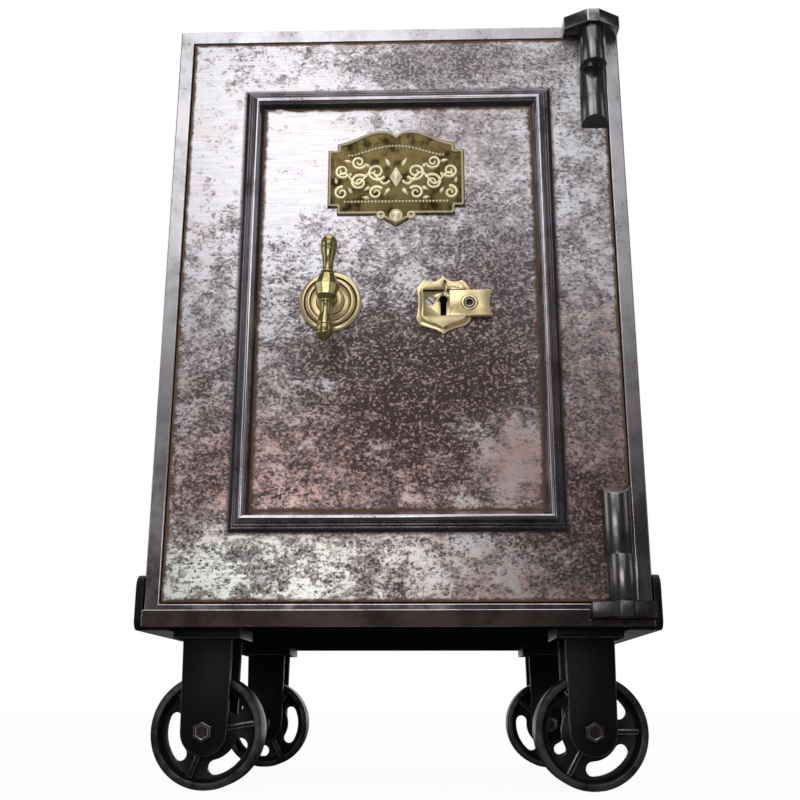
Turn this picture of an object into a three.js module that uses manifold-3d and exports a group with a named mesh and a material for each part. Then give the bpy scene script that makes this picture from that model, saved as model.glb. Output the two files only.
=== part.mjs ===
// Iron strongbox with a hinged door, bolt work and key lock, standing on a four-wheeled trolley.
// Millimetres, +Z up. The door faces -Y, and the hinges are on the +X side.
import * as THREE from 'three';
import { mergeVertices } from 'three/addons/utils/BufferGeometryUtils.js';
import Module from 'manifold-3d';

const wasm = await Module();
wasm.setup();

// Clearances
const seatGap = 0.25;        // between pieces that are riveted, screwed or laid together
const runGap = 0.3;          // round pieces that turn or slide
const doorEdgeGap = 1.2;     // all round the door plate
const knuckleGap = 0.5;      // running gap between lug and knuckle

// Body: an 18 by 24 by 18 inch case
const bodyWidth = 457.2;
const bodyHeight = 609.6;
const bodyDepth = 457.2;
const wallThickness = 9.5;
const backThickness = 9.5;
const frameBar = 14.4;       // face width of the front frame
const frameDepth = 38;

// Trolley
const wheelRadius = 50.7;
const wheelTread = 32;
const wheelSides = 32;       // facets round the tread
const wheelInset = 54.3;      // from the side of the body to the middle of a wheel
const frontWheelSetback = 54.8;
const rearWheelSetback = 43;
const rimThickness = 6.4;
const webThickness = 7;
const hubRadius = 12.5;
const hubLength = 42.6;
const slotInnerRadius = 25.8;
const slotOuterRadius = 38.8;
const slotSpan = 79;         // degrees
const ribWidth = 5.5;
const ribHeight = 8.5;       // from the middle of the web
const axleRadius = 6;
const boltHeadFlats = 16;
const boltHeadHeight = 6.5;
const nutHeight = 8;
const boltEndLength = 2;     // past the nut
const forkSideRoom = 0.5;    // between the hub and the fork
const forkWidth = 45.5;      // at the crown
const forkEndRadius = 21.2;
const forkPlate = 6;
const forkHeight = 92;       // axle to the top of the fork
const crownWidth = 62;
const crownDepth = 68;
const crownThickness = 10.4;
const deckThickness = 3.9;
const angleThickness = 6.1;
const angleHeight = 49.2;
const flangeThickness = 4.5;
const flangeRoom = 0.6;      // between a fork's crown and the flange
const angleTopRadius = 12;
const angleFootRadius = 9;
const railThickness = 5;
const railHeight = 15;
const railDrop = 2;          // below the deck plate

// Door
const plateThickness = 12.7;
const mouldingSideMargin = 58.7;
const mouldingBottomMargin = 64.2;
const mouldingTopMargin = 60.3;
const mouldingWidth = 18.6;
const mouldingHeight = 9.4;

// Hinges
const knuckleWidth = 27;
const knuckleLength = 40.5;
const knuckleInset = 0.7;    // from the edge of the door opening
const strapLength = 65;
const strapHeight = 12.2;
const strapBevel = 9;
const strapEdge = 1.5;       // straight side of the strap before it rounds over
const pinEndRoom = 1;        // between the pin's end and the bottom of its bore
const knuckleFloor = 2;      // metal past the pin's bore
const pinRadius = 5;
const lugWidth = 57;
const lugReach = 30;
const lugSideDepth = 16;
const lugNose = 11.5;

// Jamb, door case and the space for the bolt work
const swingRoom = 6.3;       // behind the door plate's hinge edge as it swings
const jambLapLeft = 18.2;
const jambLapRight = 28.2;
const jambLapEnds = 22;
const caseGapLeft = 15;
const caseGapRight = 4;
const caseGapEnds = 3;
const caseSheet = 3;
const boltSpace = 53.5;      // depth of the space for the bolt work
const chamberPlateThickness = 3;
const doorFillThickness = 14.5;
const caseToLining = 3;

// Chamber
const liningSheet = 3;
const fillSide = 49;
const fillBack = 52;
const shelfThickness = 6;
const shelfHeight = 250;     // above the chamber floor
const shelfSetback = 10;
const battenSize = 14;

// Handle and bolt work
const handleX = -65;
const lockBelowMiddle = 1.8; // handle and lock below the middle of the body
const handleReach = 40;      // door face to the middle of the handle
const handleHalfLength = 53.2;
const handleLean = 1.8;      // degrees
const hubSides = 10;
const hubRidge = 12;         // corner radius at the ridge
const hubRidgeRise = 0.9;    // ridge above the middle of the handle
const hubHead = 7.2;
const hubHeadRise = 12.3;
const hubWaist = 9.2;
const hubWaistDrop = 9.1;
const hubFootDrop = 14;
const armRoot = 5.4;
const neckRadius = 7.6;
const roseRadius = 30.5;
const roseThickness = 8;
const spindleRadius = 5;
const spindleSeat = 4;       // from the middle of the handle to the spindle's end
const gearModule = 2;
const pinionTeeth = 16;
const pinionWidth = 12;
const pressureAngle = 20;    // degrees
const backlash = 0.5;
const handleTurn = 90;       // degrees
const barWidth = 20;
const barThickness = 10;
const boltRadius = 9.5;
const boltJambGap = 1.5;
const boltSpread = 150;      // middle bolt to the top and bottom bolts
const boltEndSetback = 0.5;
const barEndMargin = 20;
const barToCase = 26;        // between the thrown bolt bar and the side of the door case
const rackBodyHeight = 16;   // above the roots of the teeth
const rackTail = 10;         // past the last notch
const guideLength = 20;
const guideHeight = 12;
const guideOverhang = 3;     // past the back of the rack bar
const guideToTeeth = 2;
const dogReach = 7;          // hinge-side dog behind the jamb
const dogJambGap = 2.5;
const dogThickness = 10;
const dogLength = 420;

// Lock
const keyX = 44.6;
const keyRise = 1.4;         // round of the key hole above the middle of the handle
const lockCaseWidth = 72;
const lockCaseDrop = 48;     // below the key hole
const lockCaseWall = 3;
const lockCoverThickness = 2.5;
const lockBoltWidth = 10;
const lockBoltThickness = 8;
const lockBoltX = 62;
const lockThrow = 8;
const notchSideRoom = 0.5;   // each side of the lock bolt in the rack bar's notch
const lockToRack = 1.5;      // between the lock case and the rack bar
const lockCaseBehind = 6;    // from the back of the bolt work to the back of the lock case
const talonLength = 7;       // nub beside the key's shank, lifted by its bit
const talonHeight = 6;
const keyRound = 4.2;
const keySlotWidth = 5.6;
const keySlotDrop = 16.5;
const keySlitX = 46.6;
const keySlitWidth = 2.4;
const keySlitRise = 7;
const shieldSlitRise = 18;

// Escutcheon with its sliding cover
const shieldWidth = 53;
const shieldHeight = 61.3;
const shieldStep = 4.4;      // width of the thin border
const shieldBorder = 2.5;
const shieldThickness = 7.5;
const shieldDrop = 4;        // middle of the shield below the middle of the handle
const channelHeight = 27.1;
const channelFloor = 1.5;    // from the door
const channelWall = 2.5;     // left of the channel
const grooveDepth = 1.2;
const grooveHeight = 1.8;
const grooveInset = 1;       // from the raised part's side
const tongueInset = 4;       // from the sliding cover's end
const coverLength = 41.9;
const coverLeft = 50.3;
const coverHollow = 6;
const catchX = 69.5;
const catchRadius = 5;
const catchRing = 8;
const catchRingHeight = 0.8;
const catchDepth = 3.6;
const catchPress = 1.5;
const catchRoom = 0.3;       // left behind the button when it is pressed
const screwX = 31.5;
const screwHead = 4.5;
const screwShank = 2.2;
const screwLength = 9;       // depth of its hole in the door plate
const screwSeat = 0.1;       // from the door to the root of the head
const screwCone = 1.2;
const screwSlot = 0.8;
const screwSlotDepth = 0.7;

// Brass plate
const brassWidth = 137;
const brassCentre = -1.6;
const brassTopMargin = 27.9; // below the moulding
const brassStep = 9.5;       // each side, above and below the shoulders
const brassSideHeight = 62.9;
const brassHeadRise = 7.2;
const brassFootDrop = 8.4;
const humpRise = 14.5;
const humpX = 13.9;
const valleyDrop = 6.2;
const scrollX = 15;
const scrollRadius = 4;
const pendantDrop = 12.5;
const brassThickness = 2.2;
const brassRim = 1.2;
const brassRimWidth = 2.4;

// Levels and places that follow from the sizes above
const axleZ = wheelRadius;
const forkTop = axleZ + forkHeight;
const deckBottom = forkTop + seatGap;
const bodyBottom = deckBottom + deckThickness + seatGap;
const bodyTop = bodyBottom + bodyHeight;
const bodyHalf = bodyWidth / 2;
const openHalf = bodyHalf - frameBar;
const openBottom = bodyBottom + frameBar;
const openTop = bodyTop - frameBar;
const doorHalf = openHalf - doorEdgeGap;
const doorBottom = openBottom + doorEdgeGap;
const doorTop = openTop - doorEdgeGap;
const wheelX = bodyHalf - wheelInset;
const outerHalf = bodyHalf + seatGap + angleThickness;
const hingeX = openHalf - knuckleInset - knuckleWidth / 2;
const hingeY = -knuckleWidth / 2;
const jambLeft = -openHalf + jambLapLeft;
const jambRight = openHalf - jambLapRight;
const jambBottom = openBottom + jambLapEnds;
const jambTop = openTop - jambLapEnds;
const caseLeft = jambLeft + caseGapLeft;
const caseRight = jambRight - caseGapRight;
const caseBottom = jambBottom + caseGapEnds;
const caseTop = jambTop - caseGapEnds;
const doorBack = plateThickness + seatGap;
const chamberPlateY = plateThickness + boltSpace;
const doorFillY = chamberPlateY + chamberPlateThickness + seatGap;
const caseBack = doorFillY + doorFillThickness + seatGap + caseSheet;
const liningY = caseBack + caseToLining;
const lockZ = bodyBottom + bodyHeight / 2 - lockBelowMiddle;
const keyZ = lockZ + keyRise;
const boltY = frameDepth + boltJambGap + boltRadius;
const pitchRadius = gearModule * pinionTeeth / 2;
const rackPitchZ = lockZ + pitchRadius;
const rackAddendum = 0.9 * gearModule;
const rackDedendum = 1.2 * gearModule;
const rackBottom = rackPitchZ + rackDedendum;
const rackTop = rackBottom + rackBodyHeight;
const boltStroke = pitchRadius * THREE.MathUtils.degToRad(handleTurn);
const barRight = caseLeft + boltStroke + barWidth + barToCase;
const barLeft = barRight - barWidth;
const frontmost = handleReach + hubRidge * Math.cos(Math.PI / hubSides);
const rearmost = bodyDepth + seatGap + railThickness;

// Materials
function finish(color, roughness, metalness) {
  return new THREE.MeshStandardMaterial({ color, roughness, metalness });
}
const burnishedIron = finish(0x8f8a8c, 0.38, 0.9);
const frameIron = finish(0x6f6869, 0.4, 0.9);
const darkSteel = finish(0x5a5654, 0.3, 0.9);
const brightSteel = finish(0xa8a8a6, 0.3, 1);
const blackPaint = finish(0x141414, 0.45, 0.2);
const castIron = finish(0x26262a, 0.55, 0.6);
const liningPaint = finish(0x3c4a44, 0.6, 0.1);
const brass = finish(0xb59a4c, 0.28, 1);
const paleBrass = finish(0xd8c48c, 0.25, 1);
const agedBrass = finish(0x9a7f3f, 0.4, 0.9);
const gypsum = finish(0xcfc8b8, 0.95, 0);

// A closed geometry becomes a solid that can be cut and joined
function solid(geometry) {
  const bare = geometry.clone();
  bare.deleteAttribute('normal');
  bare.deleteAttribute('uv');
  const merged = mergeVertices(bare, 1e-4);
  const corners = merged.index.array;
  const kept = [];
  for (let i = 0; i < corners.length; i += 3) {
    const [a, b, c] = [corners[i], corners[i + 1], corners[i + 2]];
    if (a !== b && b !== c && c !== a) kept.push(a, b, c);
  }
  return new wasm.Manifold(new wasm.Mesh({
    numProp: 3,
    vertProperties: new Float32Array(merged.attributes.position.array),
    triVerts: new Uint32Array(kept),
  }));
}

function geometryOf(body) {
  const { vertProperties, triVerts } = body.getMesh();
  const geometry = new THREE.BufferGeometry();
  geometry.setAttribute('position', new THREE.BufferAttribute(vertProperties, 3));
  geometry.setIndex(new THREE.BufferAttribute(triVerts, 1));
  return geometry;
}

// A form to join or cut is a geometry or a solid
const asSolid = (form) => (form.isBufferGeometry ? solid(form) : form);
const join = (...forms) => forms.map(asSolid).reduce((whole, next) => whole.add(next));
const cut = (form, ...tools) => tools.map(asSolid).reduce((left, tool) => left.subtract(tool), asSolid(form));

function piece(name, form, material) {
  const mesh = new THREE.Mesh(geometryOf(asSolid(form)), material);
  mesh.name = name;
  return mesh;
}

const span = (a, b) => [Math.min(a, b), Math.max(a, b)];
const around = (middle, half) => [middle - half, middle + half];

// Simple forms, placed by their lowest and highest corners
function block([x0, x1], [y0, y1], [z0, z1]) {
  const geometry = new THREE.BoxGeometry(x1 - x0, y1 - y0, z1 - z0);
  geometry.translate((x0 + x1) / 2, (y0 + y1) / 2, (z0 + z1) / 2);
  return geometry;
}

function roundBar(axis, radius, [from, to], [u, v], sides = 20) {
  const geometry = new THREE.CylinderGeometry(radius, radius, to - from, sides);
  const middle = (from + to) / 2;
  if (axis === 'x') geometry.rotateZ(-Math.PI / 2).translate(middle, u, v);
  if (axis === 'y') geometry.translate(u, middle, v);
  if (axis === 'z') geometry.rotateX(Math.PI / 2).translate(u, v, middle);
  return geometry;
}

// Outlines: drawn in X and Z and given depth along Y, or drawn in X and Y and given height
function outline(points) {
  return new THREE.Shape(points.map(([x, y]) => new THREE.Vector2(x, y)));
}

function deep(shape, [y0, y1], curveSegments = 10) {
  const geometry = new THREE.ExtrudeGeometry(shape, { depth: y1 - y0, bevelEnabled: false, curveSegments });
  return geometry.rotateX(Math.PI / 2).translate(0, y1, 0);
}

function tall(shape, [z0, z1], curveSegments = 10) {
  const geometry = new THREE.ExtrudeGeometry(shape, { depth: z1 - z0, bevelEnabled: false, curveSegments });
  return geometry.translate(0, 0, z0);
}

// Drawn in Y and Z and given length along X
function long(shape, [x0, x1], curveSegments = 10) {
  const geometry = new THREE.ExtrudeGeometry(shape, { depth: x1 - x0, bevelEnabled: false, curveSegments });
  const turn = new THREE.Matrix4().makeBasis(
    new THREE.Vector3(0, 1, 0), new THREE.Vector3(0, 0, 1), new THREE.Vector3(1, 0, 0));
  return geometry.applyMatrix4(turn).translate(x0, 0, 0);
}

// Turned forms: [radius, distance along the axis] from one end to the other, along +Y
function turned(profile, sides = 24) {
  return new THREE.LatheGeometry(profile.map(([r, along]) => new THREE.Vector2(r, along)), sides);
}

// A mitred frame moulding: profile points are [distance in from the outer edge, height above the door]
function mitredFrame(halfWidth, bottom, top, profile) {
  const loops = profile.map(([inset, height]) => [
    [-halfWidth + inset, -height, bottom + inset],
    [halfWidth - inset, -height, bottom + inset],
    [halfWidth - inset, -height, top - inset],
    [-halfWidth + inset, -height, top - inset],
  ]);
  const positions = [];
  loops.forEach((loop, i) => {
    const next = loops[(i + 1) % loops.length];
    loop.forEach((corner, k) => {
      const after = (k + 1) % 4;
      positions.push(...corner, ...loop[after], ...next[after], ...corner, ...next[after], ...next[k]);
    });
  });
  const geometry = new THREE.BufferGeometry();
  geometry.setAttribute('position', new THREE.Float32BufferAttribute(positions, 3));
  return geometry;
}

// Body: casing, frame, jamb, lining and filling
const innerHalf = bodyHalf - wallThickness;
const innerBottom = bodyBottom + wallThickness;
const innerTop = bodyTop - wallThickness;
const backY = bodyDepth - backThickness;
const frameEnd = frameDepth + seatGap;
const casingEnd = backY - seatGap;

function outerCasing() {
  const shell = block([-bodyHalf, bodyHalf], [frameEnd, casingEnd], [bodyBottom, bodyTop]);
  const hollow = block([-innerHalf, innerHalf], [0, bodyDepth], [innerBottom, innerTop]);
  return piece('outer_casing', cut(shell, hollow), frameIron);
}

function frontFrame() {
  const bars = block([-bodyHalf, bodyHalf], [0, frameDepth], [bodyBottom, bodyTop]);
  const opening = block([-openHalf, openHalf], [-1, frameEnd], [openBottom, openTop]);
  return piece('front_frame', cut(bars, opening), frameIron);
}

function doorJamb() {
  const outer = block([-openHalf + seatGap, openHalf - seatGap], [plateThickness + swingRoom, frameDepth],
    [openBottom + seatGap, openTop - seatGap]);
  const opening = block([jambLeft, jambRight], [0, frameEnd], [jambBottom, jambTop]);
  return piece('door_jamb', cut(outer, opening), darkSteel);
}

const backPlate = () => piece('back_plate',
  block([-bodyHalf, bodyHalf], [backY, bodyDepth], [bodyBottom, bodyTop]), frameIron);

const chamberHalf = innerHalf - fillSide - liningSheet;
const chamberBottom = innerBottom + fillSide + liningSheet;
const chamberTop = innerTop - fillSide - liningSheet;
const chamberBack = backY - fillBack - liningSheet;

function innerLining() {
  const flange = block([-innerHalf + seatGap, innerHalf - seatGap], [liningY, liningY + liningSheet],
    [innerBottom + seatGap, innerTop - seatGap]);
  const shell = block([-chamberHalf - liningSheet, chamberHalf + liningSheet],
    [liningY + liningSheet / 2, chamberBack + liningSheet],
    [chamberBottom - liningSheet, chamberTop + liningSheet]);
  const chamber = block([-chamberHalf, chamberHalf], [liningY - 1, chamberBack], [chamberBottom, chamberTop]);
  return piece('inner_lining', cut(join(flange, shell), chamber), liningPaint);
}

function fireFilling() {
  const gap = seatGap + liningSheet;
  const mass = block([-innerHalf + seatGap, innerHalf - seatGap], [liningY + gap, backY - seatGap],
    [innerBottom + seatGap, innerTop - seatGap]);
  const pocket = block([-chamberHalf - gap, chamberHalf + gap], [liningY, chamberBack + gap],
    [chamberBottom - gap, chamberTop + gap]);
  return piece('fire_filling', cut(mass, pocket), gypsum);
}

const shelfZ = chamberBottom + shelfHeight;
const shelfFront = liningY + shelfSetback;

function shelfParts() {
  const shelfEdge = chamberHalf - seatGap;
  const parts = [piece('shelf',
    block([-shelfEdge, shelfEdge], [shelfFront, chamberBack - seatGap], [shelfZ, shelfZ + shelfThickness]),
    liningPaint)];
  for (const [side, name] of [[-1, 'shelf_batten_left'], [1, 'shelf_batten_right']]) {
    const across = span(side * shelfEdge, side * (shelfEdge - battenSize));
    parts.push(piece(name,
      block(across, [shelfFront, chamberBack - seatGap], [shelfZ - seatGap - battenSize, shelfZ - seatGap]),
      darkSteel));
  }
  return parts;
}

// Hinges: lugs and pins on the body, knuckles on the door
const lugs = [
  { place: 'top', from: openTop, to: bodyTop, side: -1 },
  { place: 'bottom', from: bodyBottom, to: openBottom, side: 1 },
];

function hingeLug({ place, from, to }) {
  const half = lugWidth / 2;
  const plan = outline([
    [hingeX - half, -seatGap], [hingeX - half, -lugSideDepth], [hingeX - lugNose / 2, -lugReach],
    [hingeX + lugNose / 2, -lugReach], [hingeX + half, -lugSideDepth], [hingeX + half, -seatGap]]);
  const bore = roundBar('z', pinRadius + runGap, [from - 1, to + 1], [hingeX, hingeY]);
  return piece(`hinge_lug_${place}`, cut(tall(plan, [from, to]), bore), darkSteel);
}

function hingePin({ place, from, to, side }) {
  const inner = side < 0 ? from : to;
  const outer = side < 0 ? to : from;
  const ends = span(inner + side * (knuckleGap + knuckleLength - knuckleFloor - pinEndRoom), outer);
  return piece(`hinge_pin_${place}`, roundBar('z', pinRadius, ends, [hingeX, hingeY]), brightSteel);
}

function hingeKnuckle({ place, from, to, side }) {
  const start = (side < 0 ? from : to) + side * knuckleGap;
  const step = start + side * knuckleLength;
  const end = step + side * strapLength;
  const half = knuckleWidth / 2;
  const eye = new THREE.Shape();
  eye.moveTo(hingeX + half, -seatGap).lineTo(hingeX - half, -seatGap).lineTo(hingeX - half, hingeY);
  eye.absarc(hingeX, hingeY, half, Math.PI, 2 * Math.PI, false);
  const strap = new THREE.Shape();
  strap.moveTo(hingeX - half, -seatGap).lineTo(hingeX - half, -strapEdge);
  strap.absellipse(hingeX, -strapEdge, half, strapHeight - strapEdge, Math.PI, 2 * Math.PI, false, 0);
  strap.lineTo(hingeX + half, -seatGap);
  const knuckle = tall(eye, span(start, step), 9);
  const tail = tall(strap, span(start, end), 9);
  const bevelEnd = end - side * strapBevel;
  const beyond = -2 * strapHeight;
  const bevel = long(outline([[0, end + side], [0, end], [-strapHeight, bevelEnd], [beyond, bevelEnd],
    [beyond, end + side]]), [hingeX - knuckleWidth, hingeX + knuckleWidth]);
  const depth = span(start - side, step - side * knuckleFloor);
  const bore = roundBar('z', pinRadius + runGap, depth, [hingeX, hingeY]);
  return piece(`hinge_knuckle_${place}`, cut(join(knuckle, tail), bevel, bore), darkSteel);
}

// Door plate, moulding, door case and filling
const mouldHalf = openHalf - mouldingSideMargin;
const mouldBottom = openBottom + mouldingBottomMargin;
const mouldTop = openTop - mouldingTopMargin;

function mouldingProfile() {
  const steps = [[0, 0.2], [0.02, 0.24], [0.18, 0.36], [0.2, 0.29], [0.25, 0.31], [0.28, 0.45],
    [0.34, 0.48], [0.36, 0.4], [0.4, 0.42], [0.43, 0.58], [0.48, 0.6], [0.5, 0.52]];
  const beadMiddle = 0.665;
  const beadHalf = 0.155;
  for (const degrees of [180, 150, 120, 90, 60, 30, 0]) {
    const angle = THREE.MathUtils.degToRad(degrees);
    steps.push([beadMiddle + beadHalf * Math.cos(angle), 0.66 + 0.34 * Math.sin(angle)]);
  }
  steps.push([0.86, 0.5], [0.93, 0.3], [1, 0.16]);
  const ridges = steps.map(([along, height]) => [along * mouldingWidth, height * mouldingHeight]);
  return [[0, seatGap], ...ridges, [mouldingWidth, seatGap]];
}

const doorMoulding = () => piece('door_moulding',
  mitredFrame(mouldHalf, mouldBottom, mouldTop, mouldingProfile()), darkSteel);

// The key hole's round, its slot below and the narrow slit above, as far as each piece needs them
function keyHoleTools(depth, rise = keySlitRise) {
  return [
    roundBar('y', keyRound, depth, [keyX, keyZ]),
    block(around(keyX, keySlotWidth / 2), depth, [keyZ - keySlotDrop, keyZ]),
    block(around(keySlitX, keySlitWidth / 2), depth, [keyZ, keyZ + rise]),
  ];
}

function doorPlate() {
  const depth = [-1, plateThickness + 1];
  const plate = block([-doorHalf, doorHalf], [0, plateThickness], [doorBottom, doorTop]);
  return piece('door_plate', cut(plate,
    roundBar('y', spindleRadius + runGap, depth, [handleX, lockZ]),
    roundBar('y', screwShank + runGap, [-1, screwLength], [screwX, lockZ]),
    ...keyHoleTools(depth)), burnishedIron);
}

const boltHeights = [['top', lockZ + boltSpread], ['middle', lockZ], ['bottom', lockZ - boltSpread]];

function doorCase() {
  const shell = block([caseLeft, caseRight], [doorBack, caseBack], [caseBottom, caseTop]);
  const hollow = block([caseLeft + caseSheet, caseRight - caseSheet], [0, caseBack - caseSheet],
    [caseBottom + caseSheet, caseTop - caseSheet]);
  const holes = boltHeights.map(([, z]) =>
    roundBar('x', boltRadius + runGap, [caseLeft - 1, caseLeft + caseSheet + 1], [boltY, z]));
  return piece('door_case', cut(shell, hollow, ...holes), darkSteel);
}

const fillX = [caseLeft + caseSheet + seatGap, caseRight - caseSheet - seatGap];
const fillZ = [caseBottom + caseSheet + seatGap, caseTop - caseSheet - seatGap];
const chamberPlate = () => piece('bolt_space_plate',
  block(fillX, [chamberPlateY, chamberPlateY + chamberPlateThickness], fillZ), darkSteel);
const doorFilling = () => piece('door_filling',
  block(fillX, [doorFillY, doorFillY + doorFillThickness], fillZ), gypsum);

function dogBar() {
  const y = frameDepth + dogJambGap;
  return piece('hinge_side_dog', block([caseRight + seatGap, jambRight + dogReach], [y, y + dogThickness],
    [lockZ - dogLength / 2, lockZ + dogLength / 2]), brightSteel);
}

// Brass plate: shouldered outline with a double-humped head, a stepped foot, two scrolls and a pendant
const brassTop = mouldTop - mouldingWidth - brassTopMargin;

function brassOutline(inset) {
  const half = brassWidth / 2 - inset;
  const neck = half - brassStep;
  const peak = brassTop - inset;
  const eaves = peak - humpRise;
  const shoulder = eaves - brassHeadRise;
  const ledge = shoulder - brassSideHeight + 2 * inset;
  const foot = ledge - brassFootDrop;
  const scroll = scrollRadius - inset / 2;
  const at = (x, z) => [brassCentre + x, z];
  const shape = new THREE.Shape();
  shape.moveTo(...at(-half, ledge)).lineTo(...at(-neck, ledge)).lineTo(...at(-neck, foot));
  shape.lineTo(...at(-scrollX - scroll, foot));
  shape.absarc(...at(-scrollX, foot - 1), scroll, Math.PI, 5 * Math.PI / 3, false);
  shape.lineTo(...at(0, foot - pendantDrop + inset));
  shape.absarc(...at(scrollX, foot - 1), scroll, 4 * Math.PI / 3, 2 * Math.PI, false);
  shape.lineTo(...at(scrollX + scroll, foot)).lineTo(...at(neck, foot)).lineTo(...at(neck, ledge));
  shape.lineTo(...at(half, ledge)).lineTo(...at(half, shoulder)).lineTo(...at(neck, shoulder));
  shape.lineTo(...at(neck, eaves));
  shape.bezierCurveTo(...at(neck - 18, eaves + 3), ...at(humpX + 16, peak), ...at(humpX, peak));
  shape.quadraticCurveTo(...at(humpX / 3, peak), ...at(0, peak - valleyDrop));
  shape.quadraticCurveTo(...at(-humpX / 3, peak), ...at(-humpX, peak));
  shape.bezierCurveTo(...at(-humpX - 16, peak), ...at(18 - neck, eaves + 3), ...at(-neck, eaves));
  shape.lineTo(...at(-neck, shoulder)).lineTo(...at(-half, shoulder));
  return shape;
}

function brassPlate() {
  const front = -seatGap - brassThickness;
  const full = deep(brassOutline(0), [front - brassRim, -seatGap], 6);
  const field = deep(brassOutline(brassRimWidth), [front - brassRim - 1, front], 6);
  return piece('brass_plate', cut(full, field), agedBrass);
}

// Handle, rose, spindle and pinion
function handleRose() {
  const bore = spindleRadius + runGap + 0.4;
  const t = roseThickness;
  const profile = [[bore, -seatGap], [roseRadius, -seatGap], [roseRadius, -0.3 * t],
    [roseRadius - 4.5, -0.42 * t], [roseRadius - 5.5, -0.28 * t], [roseRadius - 7, -0.5 * t],
    [roseRadius - 9.5, -0.56 * t], [roseRadius - 11, -0.4 * t], [13.5, -0.34 * t], [12, -t],
    [bore, -t], [bore, -seatGap]];
  const geometry = turned(profile.reverse(), 28).translate(handleX, 0, lockZ);
  return piece('handle_rose', geometry, paleBrass);
}

const neckEnd = roseThickness + runGap;
const spindleEnd = -handleReach + spindleSeat;

function tHandle() {
  const tip = handleHalfLength;
  const arm = [[0, 0], [armRoot, 0], [armRoot, hubHeadRise], [5, 20], [5.1, 25], [6.2, 31], [7.9, 38],
    [7.9, 44.5], [6.9, 47.8], [4.6, 51], [0, tip]];
  const facets = [[0, -hubFootDrop], [armRoot, -hubFootDrop], [hubWaist, -hubWaistDrop],
    [hubRidge, hubRidgeRise], [hubHead, hubHeadRise], [0, hubHeadRise]];
  const hub = turned(facets, hubSides).rotateY(Math.PI / hubSides);
  const upright = new THREE.Matrix4().makeTranslation(handleX, -handleReach, lockZ);
  upright.multiply(new THREE.Matrix4().makeRotationY(THREE.MathUtils.degToRad(handleLean)));
  upright.multiply(new THREE.Matrix4().makeRotationX(Math.PI / 2));
  const crosspiece = join(turned(arm, 14), turned(arm, 14).rotateX(Math.PI), hub);
  const neck = roundBar('y', neckRadius, [-handleReach, -neckEnd], [handleX, lockZ]);
  const bore = roundBar('y', spindleRadius + runGap, [spindleEnd - runGap, 0], [handleX, lockZ]);
  return piece('t_handle', cut(join(geometryOf(crosspiece).applyMatrix4(upright), neck), bore), brass);
}

const pinionY = [boltY - pinionWidth / 2, boltY + pinionWidth / 2];

// Spindle with the pinion cut on its inner end: involute teeth, one of them pointing straight up
function pinionSpindle() {
  const phi = THREE.MathUtils.degToRad(pressureAngle);
  const involute = (angle) => Math.tan(angle) - angle;
  const base = pitchRadius * Math.cos(phi);
  const root = pitchRadius - rackDedendum;
  const tip = pitchRadius + rackAddendum;
  const halfTooth = (Math.PI * gearModule / 2 - backlash) / 2 / pitchRadius;
  const flankSteps = 3;
  const flank = [];
  for (let k = 0; k <= flankSteps; k += 1) {
    const r = Math.max(base, root) + (tip - Math.max(base, root)) * k / flankSteps;
    const spread = halfTooth + involute(phi) - involute(Math.acos(Math.min(1, base / r)));
    flank.push([r, spread]);
  }
  if (root < base) flank.unshift([root, flank[0][1]]);
  const points = [];
  for (let tooth = 0; tooth < pinionTeeth; tooth += 1) {
    const middle = Math.PI / 2 + tooth * 2 * Math.PI / pinionTeeth;
    const up = flank.map(([r, spread]) => [r, middle - spread]);
    const down = flank.map(([r, spread]) => [r, middle + spread]).reverse();
    for (const [r, angle] of [...up, ...down]) {
      points.push([handleX + r * Math.cos(angle), lockZ + r * Math.sin(angle)]);
    }
  }
  const bar = roundBar('y', spindleRadius, [spindleEnd, chamberPlateY - seatGap], [handleX, lockZ]);
  return piece('pinion_spindle', join(bar, deep(outline(points), pinionY)), brightSteel);
}

// Bolt work: the rack bar, the upright bar and the three bolts
const barY = [boltY - barThickness / 2, boltY + barThickness / 2];
const notchHalf = lockBoltWidth / 2 + notchSideRoom;
const notchDepth = lockThrow + 1;
const rackEnd = lockBoltX + boltStroke + notchHalf + rackTail;
const toothPitch = Math.PI * gearModule;
const rackReach = boltStroke + 2 * toothPitch;   // toothed length past the handle

function rackBar() {
  const slope = Math.tan(THREE.MathUtils.degToRad(pressureAngle));
  const halfTooth = (toothPitch / 2 - backlash) / 2;
  const tipHalf = halfTooth - rackAddendum * slope;
  const rootHalf = halfTooth + rackDedendum * slope;
  const tipZ = rackPitchZ - rackAddendum;
  const start = barRight + seatGap;
  const points = [[start, rackTop], [start, rackBottom]];
  for (let k = -2; (k + 0.5) * toothPitch < rackReach; k += 1) {
    const x = handleX + (k + 0.5) * toothPitch;
    points.push([x - rootHalf, rackBottom], [x - tipHalf, tipZ]);
    points.push([x + tipHalf, tipZ], [x + rootHalf, rackBottom]);
  }
  for (const x of [lockBoltX, lockBoltX + boltStroke]) {
    points.push([x - notchHalf, rackBottom], [x - notchHalf, rackBottom + notchDepth],
      [x + notchHalf, rackBottom + notchDepth], [x + notchHalf, rackBottom]);
  }
  points.push([rackEnd, rackBottom], [rackEnd, rackTop]);
  return piece('rack_bar', deep(outline(points), barY), brightSteel);
}

function boltBar() {
  const reach = boltSpread + barEndMargin;
  return piece('bolt_bar', block([barLeft, barRight], barY, [lockZ - reach, lockZ + reach]), brightSteel);
}

function doorBolts() {
  return boltHeights.map(([place, z]) => piece(`bolt_${place}`,
    roundBar('x', boltRadius, [caseLeft + boltEndSetback, barLeft - seatGap], [boltY, z]), brightSteel));
}

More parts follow.
